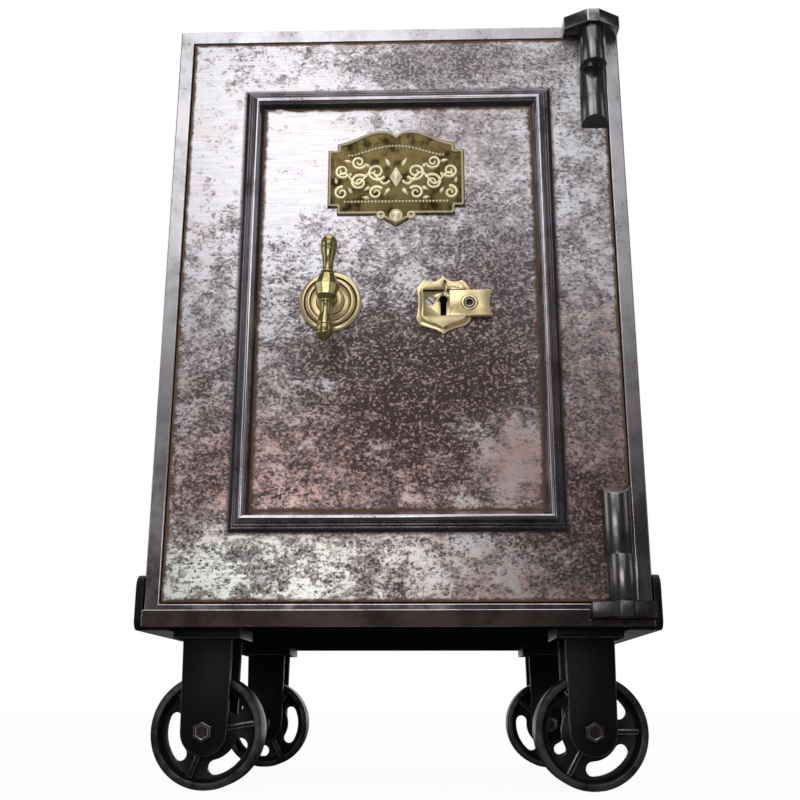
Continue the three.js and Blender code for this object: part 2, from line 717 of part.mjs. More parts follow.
// Guide blocks stand on the back of the door plate: one over the pinion, one under the bar past its teeth
function barGuides() {
  const lowerX = handleX + rackReach + guideLength / 2 + guideToTeeth;
  const depth = [doorBack, boltY + barThickness / 2 + guideOverhang];
  const above = [rackTop + runGap, rackTop + runGap + guideHeight];
  const below = [rackBottom - runGap - guideHeight, rackBottom - runGap];
  return [
    piece('rack_guide_upper', block(around(handleX, guideLength / 2), depth, above), darkSteel),
    piece('rack_guide_lower', block(around(lowerX, guideLength / 2), depth, below), darkSteel),
  ];
}

// Key lock: a case under the rack bar with a bolt that rises into the bar's notches
const lockCaseX = [keyX - lockCaseWidth / 2, keyX + lockCaseWidth / 2];
const lockCaseTop = rackBottom - lockToRack;
const lockCaseZ = [lockZ - lockCaseDrop, lockCaseTop];
const lockCaseBack = boltY + barThickness / 2 + lockCaseBehind;

function lockCase() {
  const shell = block(lockCaseX, [doorBack, lockCaseBack], lockCaseZ);
  const w = lockCaseWall;
  const hollow = block([lockCaseX[0] + w, lockCaseX[1] - w], [doorBack + w, lockCaseBack + 1],
    [lockCaseZ[0] + w, lockCaseZ[1] - w]);
  const half = lockBoltWidth / 2 + runGap;
  const deepHalf = lockBoltThickness / 2 + runGap;
  const slot = block([lockBoltX - half, lockBoltX + half], [boltY - deepHalf, boltY + deepHalf],
    [lockCaseTop - 2 * w, lockCaseTop + 1]);
  return piece('lock_case', cut(shell, hollow, slot, ...keyHoleTools([0, doorBack + w + 1])), brightSteel);
}

function lockCover() {
  const y = lockCaseBack + seatGap;
  return piece('lock_cover', block(lockCaseX, [y, y + lockCoverThickness], lockCaseZ), darkSteel);
}

function lockBolt() {
  const y = [boltY - lockBoltThickness / 2, boltY + lockBoltThickness / 2];
  const stem = [lockBoltX - lockBoltWidth / 2, lockBoltX + lockBoltWidth / 2];
  const footZ = lockCaseZ[0] + lockCaseWall + runGap;
  const upright = block(stem, y, [footZ, lockCaseTop]);
  const talon = block([stem[0] - talonLength, stem[1]], y, [lockZ - 1, lockZ - 1 + talonHeight]);
  return piece('lock_bolt', join(upright, talon), brass);
}

// Escutcheon: a shield with a thin border, a channel for the sliding cover and the cover's catch
const shieldZ = lockZ - shieldDrop;

function shieldOutline(inset) {
  const w = shieldWidth / 2 - inset;
  const h = shieldHeight / 2 - inset;
  const at = (x, z) => [keyX + x * w, shieldZ + z * h];
  const shape = new THREE.Shape();
  shape.moveTo(...at(0, -1));
  shape.quadraticCurveTo(...at(0.2, -0.84), ...at(0.6, -0.76));
  shape.quadraticCurveTo(...at(1, -0.68), ...at(1, -0.42));
  shape.quadraticCurveTo(...at(0.86, 0.1), ...at(1, 0.57));
  shape.lineTo(...at(0.71, 0.85));
  shape.quadraticCurveTo(...at(0.3, 0.64), ...at(0, 1));
  shape.quadraticCurveTo(...at(-0.3, 0.64), ...at(-0.71, 0.85));
  shape.lineTo(...at(-1, 0.57));
  shape.quadraticCurveTo(...at(-0.86, 0.1), ...at(-1, -0.42));
  shape.quadraticCurveTo(...at(-1, -0.68), ...at(-0.6, -0.76));
  shape.quadraticCurveTo(...at(-0.2, -0.84), ...at(0, -1));
  return shape;
}

const coverHalf = channelHeight / 2 - runGap;
const coverY = [-shieldThickness + 0.3, -channelFloor - runGap];
const coverRight = coverLeft + coverLength;
const channelLeft = keyX - shieldWidth / 2 + shieldStep + channelWall;
const tongueX = [coverLeft + tongueInset, keyX + shieldWidth / 2 - shieldStep - grooveInset];

function escutcheon() {
  const border = deep(shieldOutline(0), [-shieldBorder, -seatGap], 5);
  const raised = deep(shieldOutline(shieldStep), [-shieldThickness, -shieldBorder + seatGap], 5);
  const front = [-shieldThickness - 1, -channelFloor];
  const across = [channelLeft, keyX + shieldWidth];
  const channel = block(across, front, around(shieldZ, channelHeight / 2));
  const groove = block(across, [-channelFloor - grooveHeight, -channelFloor],
    around(shieldZ, channelHeight / 2 + grooveDepth));
  const slit = block(around(keySlitX, keySlitWidth / 2), front, [keyZ, keyZ + shieldSlitRise]);
  const sink = [[0, 1], [screwShank, 1], [screwShank, -screwSeat], [screwHead, -screwSeat - screwCone],
    [screwHead, -shieldThickness], [0, -shieldThickness]].map(([r, y]) => [r && r + runGap, y]);
  const sunk = turned(sink.reverse(), 20).translate(screwX, 0, lockZ);
  const keyHole = keyHoleTools([-shieldBorder - 1, 1]);
  return piece('escutcheon', cut(join(border, raised), channel, groove, slit, sunk, ...keyHole), paleBrass);
}

function escutcheonScrew() {
  const y = -screwSeat - screwCone;
  const tip = screwLength - 1;
  const profile = [[0, tip], [screwShank, tip], [screwShank, -screwSeat], [screwHead, y], [0, y]];
  const screw = turned(profile.reverse(), 20);
  const slot = block([-2 * screwHead, 2 * screwHead], [y - 1, y + screwSlotDepth],
    [-screwSlot / 2, screwSlot / 2]);
  const slotted = cut(screw, slot.rotateY(Math.PI / 4));
  return piece('escutcheon_screw', geometryOf(slotted).translate(screwX, 0, lockZ), brightSteel);
}

function slidingCover() {
  const shape = new THREE.Shape();
  const [low, high] = around(shieldZ, coverHalf);
  shape.moveTo(coverLeft, low).lineTo(coverRight, low);
  shape.quadraticCurveTo(coverRight - coverHollow, shieldZ, coverRight, high);
  shape.lineTo(coverLeft, high);
  const slab = deep(shape, coverY, 6);
  const tongues = block(tongueX, [-channelFloor - grooveHeight + runGap, -channelFloor - runGap],
    around(shieldZ, coverHalf + grooveDepth));
  const ringY = coverY[0] - catchRingHeight;
  const raisedRing = roundBar('y', catchRing, [ringY, coverY[0] + 1], [catchX, shieldZ]);
  const bore = roundBar('y', catchRadius + runGap, [ringY - 1, coverY[0] + catchDepth], [catchX, shieldZ]);
  return piece('sliding_cover', cut(join(slab, tongues, raisedRing), bore), paleBrass);
}

function catchButton() {
  const front = coverY[0] - catchRingHeight;
  const back = coverY[0] + catchDepth - catchPress - catchRoom;
  const chamfer = 0.8;
  const profile = [[0, front], [catchRadius - chamfer, front], [catchRadius, front + chamfer],
    [catchRadius, back], [0, back]];
  return piece('catch_button', turned(profile, 20).translate(catchX, 0, shieldZ), brightSteel);
}

// Trolley: angles, rails, deck, forks, wheels and axles
const frontEnd = -seatGap - railThickness;
const flangeEdge = wheelX + crownWidth / 2 + flangeRoom;

function sideAngle(name, side) {
  const [r, foot] = [angleTopRadius, angleFootRadius];
  const bottom = forkTop - flangeThickness;
  const top = bottom + angleHeight;
  const upright = new THREE.Shape();
  upright.moveTo(frontEnd, bottom + foot).lineTo(frontEnd, top - r);
  upright.absarc(frontEnd + r, top - r, r, Math.PI, Math.PI / 2, true);
  upright.lineTo(rearmost - r, top);
  upright.absarc(rearmost - r, top - r, r, Math.PI / 2, 0, true);
  upright.lineTo(rearmost, bottom + foot);
  upright.absarc(rearmost - foot, bottom + foot, foot, 0, -Math.PI / 2, true);
  upright.lineTo(frontEnd + foot, bottom);
  upright.absarc(frontEnd + foot, bottom + foot, foot, -Math.PI / 2, -Math.PI, true);
  const outer = span(side * outerHalf, side * (outerHalf - angleThickness));
  const flangeX = span(side * (outerHalf - angleThickness / 2), side * flangeEdge);
  const flange = block(flangeX, [frontEnd + foot, rearmost - foot], [bottom, forkTop]);
  return piece(name, join(long(upright, outer, 5), flange), blackPaint);
}

function endRail(name, front) {
  const y = front ? [frontEnd, -seatGap] : [bodyDepth + seatGap, rearmost];
  const bottom = deckBottom - railDrop;
  const bar = block([-bodyHalf, bodyHalf], y, [bottom, bottom + railHeight]);
  const notchHalf = lugWidth / 2 + runGap;
  const notch = block([hingeX - notchHalf, hingeX + notchHalf], [-lugReach, 0],
    [bodyBottom - runGap, openBottom]);
  return piece(name, front ? cut(bar, notch) : bar, blackPaint);
}

const deckPlate = () => piece('deck_plate', block([-bodyHalf, bodyHalf], [0, bodyDepth],
  [deckBottom, deckBottom + deckThickness]), blackPaint);

const wheelSets = [
  { place: 'front_left', x: -wheelX, y: frontWheelSetback, out: -1, phase: 69.5 },
  { place: 'front_right', x: wheelX, y: frontWheelSetback, out: -1, phase: 60 },
  { place: 'rear_left', x: -wheelX, y: bodyDepth - rearWheelSetback, out: 1, phase: 117 },
  { place: 'rear_right', x: wheelX, y: bodyDepth - rearWheelSetback, out: 1, phase: 82 },
];
const forkInner = hubLength / 2 + forkSideRoom;
const forkOuter = forkInner + forkPlate;

function fork({ place, x, y }) {
  const crownBottom = forkTop - crownThickness;
  const top = forkWidth / 2;
  const side = new THREE.Shape();
  side.moveTo(x + forkEndRadius, axleZ).lineTo(x + top, crownBottom + 1).lineTo(x - top, crownBottom + 1);
  side.lineTo(x - forkEndRadius, axleZ);
  side.absarc(x, axleZ, forkEndRadius, Math.PI, 2 * Math.PI, false);
  const plates = deep(side, around(y, forkOuter), 6);
  const crown = block(around(x, crownWidth / 2), around(y, crownDepth / 2), [crownBottom, forkTop]);
  const space = block(around(x, forkWidth), around(y, forkInner), [-1, crownBottom]);
  const bore = roundBar('y', axleRadius + runGap, around(y, forkOuter + 1), [x, axleZ]);
  return piece(`fork_${place}`, cut(join(plates, crown), space, bore), blackPaint);
}

function hexagon(x, [y0, y1]) {
  const across = boltHeadFlats / 2 / Math.cos(Math.PI / 6);
  const geometry = new THREE.CylinderGeometry(across, across, y1 - y0, 6);
  return geometry.translate(x, (y0 + y1) / 2, axleZ);
}

function axleBolt({ place, x, y, out }) {
  const headFrom = y + out * (forkOuter + seatGap);
  const head = span(headFrom, headFrom + out * boltHeadHeight);
  const shank = span(headFrom + out, y - out * (forkOuter + seatGap + nutHeight + boltEndLength));
  const bolt = join(hexagon(x, head), roundBar('y', axleRadius, shank, [x, axleZ]));
  return piece(`axle_bolt_${place}`, bolt, castIron);
}

function axleNut({ place, x, y, out }) {
  const from = y - out * (forkOuter + seatGap);
  const ends = span(from, from - out * nutHeight);
  const bore = roundBar('y', axleRadius + runGap, [ends[0] - 1, ends[1] + 1], [x, axleZ]);
  return piece(`axle_nut_${place}`, cut(hexagon(x, ends), bore), castIron);
}

function kidney(middleDegrees) {
  const half = THREE.MathUtils.degToRad(slotSpan / 2);
  const middle = THREE.MathUtils.degToRad(middleDegrees);
  const meanRadius = (slotInnerRadius + slotOuterRadius) / 2;
  const endRadius = (slotOuterRadius - slotInnerRadius) / 2;
  const trim = endRadius / meanRadius;
  const [a0, a1] = [middle - half + trim, middle + half - trim];
  const endCentre = (angle) => [meanRadius * Math.cos(angle), meanRadius * Math.sin(angle)];
  const shape = new THREE.Shape();
  shape.absarc(0, 0, slotOuterRadius, a0, a1, false);
  shape.absarc(...endCentre(a1), endRadius, a1, a1 + Math.PI, false);
  shape.absarc(0, 0, slotInnerRadius, a1, a0, true);
  shape.absarc(...endCentre(a0), endRadius, a0 + Math.PI, a0 + 2 * Math.PI, false);
  return deep(shape, [-wheelTread, wheelTread], 4);
}

// A wheel stands on one flat of its faceted tread
function wheel({ place, x, y, phase }) {
  const bore = axleRadius + runGap;
  const rimInner = wheelRadius - rimThickness;
  const [hub, web, tread] = [hubLength / 2, webThickness / 2, wheelTread / 2];
  const treadRadius = wheelRadius / Math.cos(Math.PI / wheelSides);
  const half = [[hubRadius, hub], [hubRadius + 1.5, web], [rimInner - 1.5, web], [rimInner, tread],
    [treadRadius - 1, tread], [treadRadius, tread - 1]];
  const mirrored = half.map(([r, along]) => [r, -along]);
  const section = [[bore, -hub], ...mirrored, ...half.reverse(), [bore, hub], [bore, -hub]];
  let body = solid(turned(section, wheelSides).rotateY(Math.PI / wheelSides));
  for (const third of [0, 120, 240]) {
    const rib = block([hubRadius - 1, rimInner + 1], [-ribHeight, ribHeight],
      [-ribWidth / 2, ribWidth / 2]);
    rib.rotateY(-THREE.MathUtils.degToRad(phase + 60 + third));
    body = body.add(solid(rib)).subtract(solid(kidney(phase + third)));
  }
  return piece(`wheel_${place}`, geometryOf(body).translate(x, y, axleZ), castIron);
}

const strongbox = new THREE.Group();
strongbox.position.y = (frontmost - rearmost) / 2;
strongbox.add(
  outerCasing(), frontFrame(), doorJamb(), backPlate(), innerLining(), fireFilling(), ...shelfParts(),
  ...lugs.flatMap((lug) => [hingeLug(lug), hingePin(lug)]),
  sideAngle('side_angle_left', -1), sideAngle('side_angle_right', 1),
  endRail('front_rail', true), endRail('rear_rail', false), deckPlate(),
  ...wheelSets.flatMap((set) => [fork(set), axleBolt(set), axleNut(set), wheel(set)]),
);

const door = new THREE.Group();
door.add(
  doorPlate(), doorMoulding(), ...lugs.map(hingeKnuckle), doorCase(), chamberPlate(), doorFilling(),
  dogBar(), brassPlate(), handleRose(), tHandle(), pinionSpindle(), rackBar(), boltBar(), ...doorBolts(),
  ...barGuides(), lockCase(), lockCover(), lockBolt(), escutcheon(), escutcheonScrew(), slidingCover(),
  catchButton(),
);
strongbox.add(door);

export default strongbox;
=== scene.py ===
"""Looks of the iron strongbox on its four-wheeled trolley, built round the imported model."""
import math

import bpy
from mathutils import Matrix, Vector


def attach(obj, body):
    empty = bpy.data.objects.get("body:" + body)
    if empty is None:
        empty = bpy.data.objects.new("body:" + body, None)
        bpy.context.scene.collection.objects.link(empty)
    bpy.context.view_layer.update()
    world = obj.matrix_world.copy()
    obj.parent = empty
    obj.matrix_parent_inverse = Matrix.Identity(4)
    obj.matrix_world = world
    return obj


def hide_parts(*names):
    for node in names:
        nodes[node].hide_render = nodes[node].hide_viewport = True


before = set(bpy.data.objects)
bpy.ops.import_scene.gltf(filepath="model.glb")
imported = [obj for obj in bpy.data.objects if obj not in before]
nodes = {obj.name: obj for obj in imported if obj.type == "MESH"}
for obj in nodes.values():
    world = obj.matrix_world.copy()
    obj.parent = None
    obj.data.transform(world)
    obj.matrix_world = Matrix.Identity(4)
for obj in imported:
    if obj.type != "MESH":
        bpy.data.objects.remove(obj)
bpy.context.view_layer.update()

# Sizes in millimetres. X is to the right, Y goes back from the face of the door, Z is up.
MM = 0.001
FACE_TO_MIDDLE = 205.5187   # from the face of the door back to the middle of the whole depth
SEAT = 0.25                 # gap under whatever is screwed or riveted to the door
CASE_HALF, CASE_BACK = 228.6, 457.2
CASE_LOW, CASE_TOP = 147.1, 756.7
DOOR_EDGE = (213, 451.9, 289.2)             # half width, middle height and half height
MOULDING_OUTSIDE = (155.5, 453.9, 228.2)
MOULDING_INSIDE = (136.9, 453.9, 209.5)
HINGE_X, HINGE_Y = 200.0, -13.5
LOCK_Z = 450.1              # height of the handle's middle and of the escutcheon's screw
KEY_X, KEY_Z = 44.6, 451.5  # middle of the key hole's round head
SHIELD_Z = 446.1            # middle of the escutcheon
SCREW_X = 31.5
CATCH_X = 69.5
HANDLE_X, HANDLE_REACH = -65.0, 40.0
HANDLE_LEAN = math.radians(1.8)
PLATE_X = -1.6              # middle of the brass plate
PLATE_FACE = 2.2            # height of the brass plate's field over the door
AXLE_Z = 50.7
WHEELS = {                  # middle across and along, side its bolt head faces, turn of its slots
    "front_left": (-174.3, 54.8, -1, 69.5),
    "front_right": (174.3, 54.8, -1, 60.0),
    "rear_left": (-174.3, 414.2, 1, 117.0),
    "rear_right": (174.3, 414.2, 1, 82.0),
}


def spot(x, y, z):
    """A place on the strongbox, from millimetres to the model's metres."""
    return Vector((x, y - FACE_TO_MIDDLE, z)) * MM


def flat_spot(x, y, z=0.0):
    """A place on a piece that still lies face up at the origin."""
    return Vector((x, y, z)) * MM


# Bench work: short steps that every piece below is made with

def clear():
    """Ends any edit and lets go of everything."""
    if bpy.context.mode != "OBJECT":
        bpy.ops.object.mode_set(mode="OBJECT")
    bpy.ops.object.select_all(action="DESELECT")


def only(piece):
    clear()
    piece.select_set(True)
    bpy.context.view_layer.objects.active = piece


def named(name):
    """Names the piece that was made last."""
    piece = bpy.context.object
    piece.name = piece.data.name = name
    return piece


def settle():
    """Makes the place, turn and scale in hand part of the mesh."""
    bpy.ops.object.transform_apply(location=True, rotation=True, scale=True)


def open_up(piece):
    """Starts an edit of the whole piece."""
    only(piece)
    bpy.ops.object.mode_set(mode="EDIT")
    bpy.ops.mesh.select_all(action="SELECT")


def draw_up(height):
    """Draws the selected edges up into a wall of that height."""
    bpy.ops.mesh.extrude_edges_move(TRANSFORM_OT_translate={"value": (0, 0, height * MM)})


def close_up():
    """Welds what meets, faces every wall outwards and ends the edit."""
    bpy.ops.mesh.select_all(action="SELECT")
    bpy.ops.mesh.remove_doubles(threshold=0.00001)
    bpy.ops.mesh.normals_make_consistent(inside=False)
    bpy.ops.object.mode_set(mode="OBJECT")


def turned(name, profile, sides=64, start=0.0):
    """Turned on the lathe round Z: profile is (radius, height), and its ends are closed at radius 0."""
    tip = 0.002
    radius, height = profile[0]
    radius = max(radius, tip)
    clear()
    bpy.ops.mesh.primitive_circle_add(vertices=sides, radius=radius * MM, location=(0, 0, height * MM),
                                      rotation=(0, 0, start))
    piece = named(name)
    settle()
    open_up(piece)
    for to_radius, to_height in profile[1:]:
        to_radius = max(to_radius, tip)
        draw_up(to_height - height)
        grow = to_radius / radius
        bpy.ops.transform.resize(value=(grow, grow, 1), center_override=(0, 0, to_height * MM))
        radius, height = to_radius, to_height
    close_up()
    return piece


def blank(name, outline, low, high):
    """Sawn from plate: a flat outline of (x, y) corners, thick from low to high."""
    clear()
    bpy.ops.mesh.primitive_circle_add(vertices=len(outline), radius=MM, fill_type="NGON")
    piece = named(name)
    for corner, (x, y) in zip(piece.data.vertices, outline):
        corner.co = flat_spot(x, y, low)
    open_up(piece)
    bpy.ops.mesh.extrude_region_move(TRANSFORM_OT_translate={"value": (0, 0, (high - low) * MM)})
    close_up()
    return piece


def block(name, x, y, z):
    """A squared block between two values on each axis, in its own millimetres."""
    middle = flat_spot(sum(x), sum(y), sum(z)) / 2
    size = flat_spot(x[1] - x[0], y[1] - y[0], z[1] - z[0])
    clear()
    bpy.ops.mesh.primitive_cube_add(size=1, location=middle, scale=size)
    settle()
    return named(name)


def mitred(name, half_width, half_height, profile):
    """A mitred frame lying flat: profile is (distance inwards from the outer edge, height)."""
    inwards, height = profile[0]
    clear()
    bpy.ops.mesh.primitive_plane_add(size=2 * MM, location=(0, 0, height * MM))
    piece = named(name)
    piece.scale = (half_width - inwards, half_height - inwards, 1)
    settle()
    open_up(piece)
    bpy.ops.mesh.delete(type="ONLY_FACE")
    bpy.ops.mesh.select_all(action="SELECT")
    for to_inwards, to_height in profile[1:]:
        draw_up(to_height - height)
        across = (half_width - to_inwards) / (half_width - inwards)
        along = (half_height - to_inwards) / (half_height - inwards)
        bpy.ops.transform.resize(value=(across, along, 1), center_override=(0, 0, to_height * MM))
        inwards, height = to_inwards, to_height
    close_up()
    return piece


def place(piece, at, turn=None):
    """Puts a piece in its place for good: its object stays at the origin."""
    piece.matrix_world = Matrix.Translation(at) @ (turn or Matrix.Identity(4)) @ piece.matrix_world
    only(piece)
    settle()
    return piece


FACING = Matrix.Rotation(math.pi / 2, 4, "X")    # what lay face up now faces the front


def facing(piece, x, y, z):
    """Stands a piece that lies face up against the front."""
    return place(piece, spot(x, y, z), FACING)


def carve(piece, tool, how="DIFFERENCE"):
    """Cuts a tool's shape out of a piece, or joins it on with UNION."""
    only(piece)
    cut = piece.modifiers.new("carve", "BOOLEAN")
    cut.object, cut.operation, cut.solver = tool, how, "EXACT"
    bpy.ops.object.modifier_apply(modifier=cut.name)
    bpy.data.objects.remove(tool, do_unlink=True)
    return piece


def broken_edge(piece, width, rounds, angle, worn):
    edge = piece.modifiers.new("broken_edge", "BEVEL")
    edge.width, edge.segments = width * MM, rounds
    edge.limit_method, edge.angle_limit = "ANGLE", math.radians(angle)
    edge.material = worn
    return edge


def soften(piece, width, rounds=2, angle=35, worn=-1):
    """Breaks the sharp edges; worn is the number of the finish that the broken edges show."""
    only(piece)
    edge = broken_edge(piece, width, rounds, angle, worn)
    bpy.ops.object.modifier_apply(modifier=edge.name)
    bpy.ops.object.shade_smooth_by_angle(angle=math.radians(angle))
    return piece


def smooth(piece, angle=35):
    """Shades a piece round, except over sharper angles."""
    only(piece)
    bpy.ops.object.shade_smooth_by_angle(angle=math.radians(angle))
    return piece


def stand(thing):
    """Puts a new piece, lamp or camera into the scene."""
    bpy.context.scene.collection.objects.link(thing)
    return thing


def twin(piece, name):
    """A copy of a piece, with its own mesh."""
    copy = piece.copy()
    copy.data = piece.data.copy()
    copy.name = copy.data.name = name
    return stand(copy)


def joined(name, *pieces):
    """One piece made of several."""
    clear()
    for piece in pieces:
        piece.select_set(True)
    bpy.context.view_layer.objects.active = pieces[0]
    bpy.ops.object.join()
    return named(name)


def finished(piece, *finishes):
    """Gives a piece its finishes before it is cut or softened, so that faces keep their own."""
    piece.data.materials.clear()
    for finish in finishes:
        piece.data.materials.append(finish)
    return piece


def off_axis(face):
    """How far a face's middle is from the Z axis, in millimetres."""
    return math.hypot(face.center.x, face.center.y) / MM


def mark(piece, number, chosen):
    """Gives the finish of that number to the chosen faces."""
    for face in piece.data.polygons:
        if chosen(face):
            face.material_index = number


def fitted(piece, body, slot, *replaced):
    """Hangs a piece on its body, in place of the model's own."""
    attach(piece, body)
    if replaced:
        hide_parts(*replaced)
    return piece


def arc(x, y, radius, start, end, steps, squash=1.0):
    """Points of an arc, its angles in degrees."""
    points = []
    for step in range(steps + 1):
        angle = math.radians(start + (end - start) * step / steps)
        points.append((x + radius * math.cos(angle), y + squash * radius * math.sin(angle)))
    return points


def bend(a, pull, b, steps):
    """Points after a on the curve from a to b, drawn towards pull."""
    points = []
    for step in range(1, steps + 1):
        t = step / steps
        points.append(tuple((1 - t) ** 2 * a[k] + 2 * t * (1 - t) * pull[k] + t * t * b[k] for k in (0, 1)))
    return points


def swing(a, pull_a, pull_b, b, steps):
    """Points after a on the curve from a to b, drawn towards pull_a and then pull_b."""
    points = []
    for step in range(1, steps + 1):
        t = step / steps
        s = 1 - t
        parts = ((s ** 3, a), (3 * s * s * t, pull_a), (3 * s * t * t, pull_b), (t ** 3, b))
        points.append(tuple(sum(share * point[k] for share, point in parts) for k in (0, 1)))
    return points


def on_circle(radius, angle):
    """The point at that radius and that angle in degrees."""
    return radius * math.cos(math.radians(angle)), radius * math.sin(math.radians(angle))


# Finishes

def tone(red, green, blue):
    """A colour as it is seen, 0 to 255, made linear for the shader."""
    seen = (red / 255, green / 255, blue / 255)
    return tuple(c / 12.92 if c < 0.04045 else ((c + 0.055) / 1.055) ** 2.4 for c in seen) + (1,)


class Finish:
    """A node material: grain, stains and wear are laid over the shader one after another."""

    def __init__(self, name, colour, roughness, metallic):
        self.material = bpy.data.materials.new(name)
        self.material.use_nodes = True
        self.tree = self.material.node_tree
        self.shader = self.tree.nodes["Principled BSDF"]
        self.shader.inputs["Base Color"].default_value = colour
        self.shader.inputs["Roughness"].default_value = roughness
        self.shader.inputs["Metallic"].default_value = metallic
        self.at = self.tree.nodes.new("ShaderNodeTexCoord").outputs["Object"]
        self.coats = {"Base Color": colour, "Roughness": roughness, "Metallic": metallic}

    def node(self, kind, sockets, **settings):
        node = self.tree.nodes.new(kind)
        for key, value in settings.items():
            setattr(node, key, value)
        for key, value in sockets.items():
            self.feed(node.inputs[key], value)
        return node

    def feed(self, socket, value):
        if isinstance(value, bpy.types.NodeSocket):
            self.tree.links.new(value, socket)
        else:
            socket.default_value = value

    def grain(self, size, detail=4.0, rough=0.6, stretch=(1, 1, 1), warp=0.0, shift=(0, 0, 0)):
        """Clouds of about that size in millimetres, from 0 to 1."""
        moved = self.node("ShaderNodeMapping", {"Vector": self.at, "Scale": stretch, "Location": shift})
        sockets = {"Vector": moved.outputs[0], "Scale": 1000 / size, "Detail": detail, "Roughness": rough,
                   "Distortion": warp}
        return self.node("ShaderNodeTexNoise", sockets).outputs["Fac"]

    def sum(self, *terms):
        """Adds terms up: (value, factor) counts as their product."""
        total, *rest = [self.times(*term) if isinstance(term, tuple) else term for term in terms]
        for term in rest:
            total = self.calc("ADD", total, term)
        return total

    def calc(self, operation, *values):
        node = self.node("ShaderNodeMath", {}, operation=operation)
        for socket, value in zip(node.inputs, values):
            self.feed(socket, value)
        return node.outputs[0]

    def times(self, value, factor):
        return self.calc("MULTIPLY", value, factor)

    def ease(self, value, low, high, from_value=0.0, to_value=1.0):
        """Runs smoothly from one value to another while value goes from low to high."""
        return self.node("ShaderNodeMapRange", {"Value": value, "From Min": low, "From Max": high,
                                                "To Min": from_value, "To Max": to_value},
                         interpolation_type="SMOOTHSTEP").outputs["Result"]

    def axis(self, name):
        return self.node("ShaderNodeSeparateXYZ", {"Vector": self.at}).outputs[name]

    def pool(self, x, z, wide, tall):
        """1 at a place on the door, fading to 0 at that many millimetres from it."""
        shift = (-x / wide, 0, -z / tall)
        scale = (1000 / wide, 0, 1000 / tall)
        moved = self.node("ShaderNodeMapping", {"Vector": self.at, "Scale": scale, "Location": shift})
        reach = self.node("ShaderNodeVectorMath", {0: moved.outputs[0]}, operation="LENGTH").outputs["Value"]
        return self.ease(reach, 1.0, 0.0)

    def beside(self, half_width, middle, half_height, reach):
        """1 on the edges of an upright rectangle and 0 at reach inside or outside it, in millimetres."""
        off_x = self.calc("SUBTRACT", self.calc("ABSOLUTE", self.axis("X")), half_width * MM)
        up = self.calc("ABSOLUTE", self.calc("SUBTRACT", self.axis("Z"), middle * MM))
        off_z = self.calc("SUBTRACT", up, half_height * MM)
        off = self.calc("ABSOLUTE", self.calc("MAXIMUM", off_x, off_z))
        return self.ease(off, reach * MM, 0.0)

    def between(self, where, low, high):
        """A colour that goes from low to high as where goes from 0 to 1."""
        return self.node("ShaderNodeMix", {0: where, 6: low, 7: high}, data_type="RGBA").outputs[2]

    def coat(self, where, colour=None, roughness=None, metallic=None):
        """Lays a stain or a worn place over what is there already, where is from 0 to 1."""
        if colour is not None:
            self.coats["Base Color"] = self.between(where, self.coats["Base Color"], colour)
        for key, value in (("Roughness", roughness), ("Metallic", metallic)):
            if value is not None:
                self.coats[key] = self.node("ShaderNodeMix", {0: where, 2: self.coats[key], 3: value},
                                            data_type="FLOAT").outputs[0]
        return self

    def rise(self, height, depth):
        """Raises the surface by height, from 0 to 1, times depth in millimetres."""
        bump = self.node("ShaderNodeBump", {"Height": height, "Strength": 1.0, "Distance": depth * MM})
        if self.shader.inputs["Normal"].is_linked:
            self.feed(bump.inputs["Normal"], self.shader.inputs["Normal"].links[0].from_socket)
        self.tree.links.new(bump.outputs[0], self.shader.inputs["Normal"])
        return self

    def done(self):
        for key, value in self.coats.items():
            self.feed(self.shader.inputs[key], value)
        return self.material


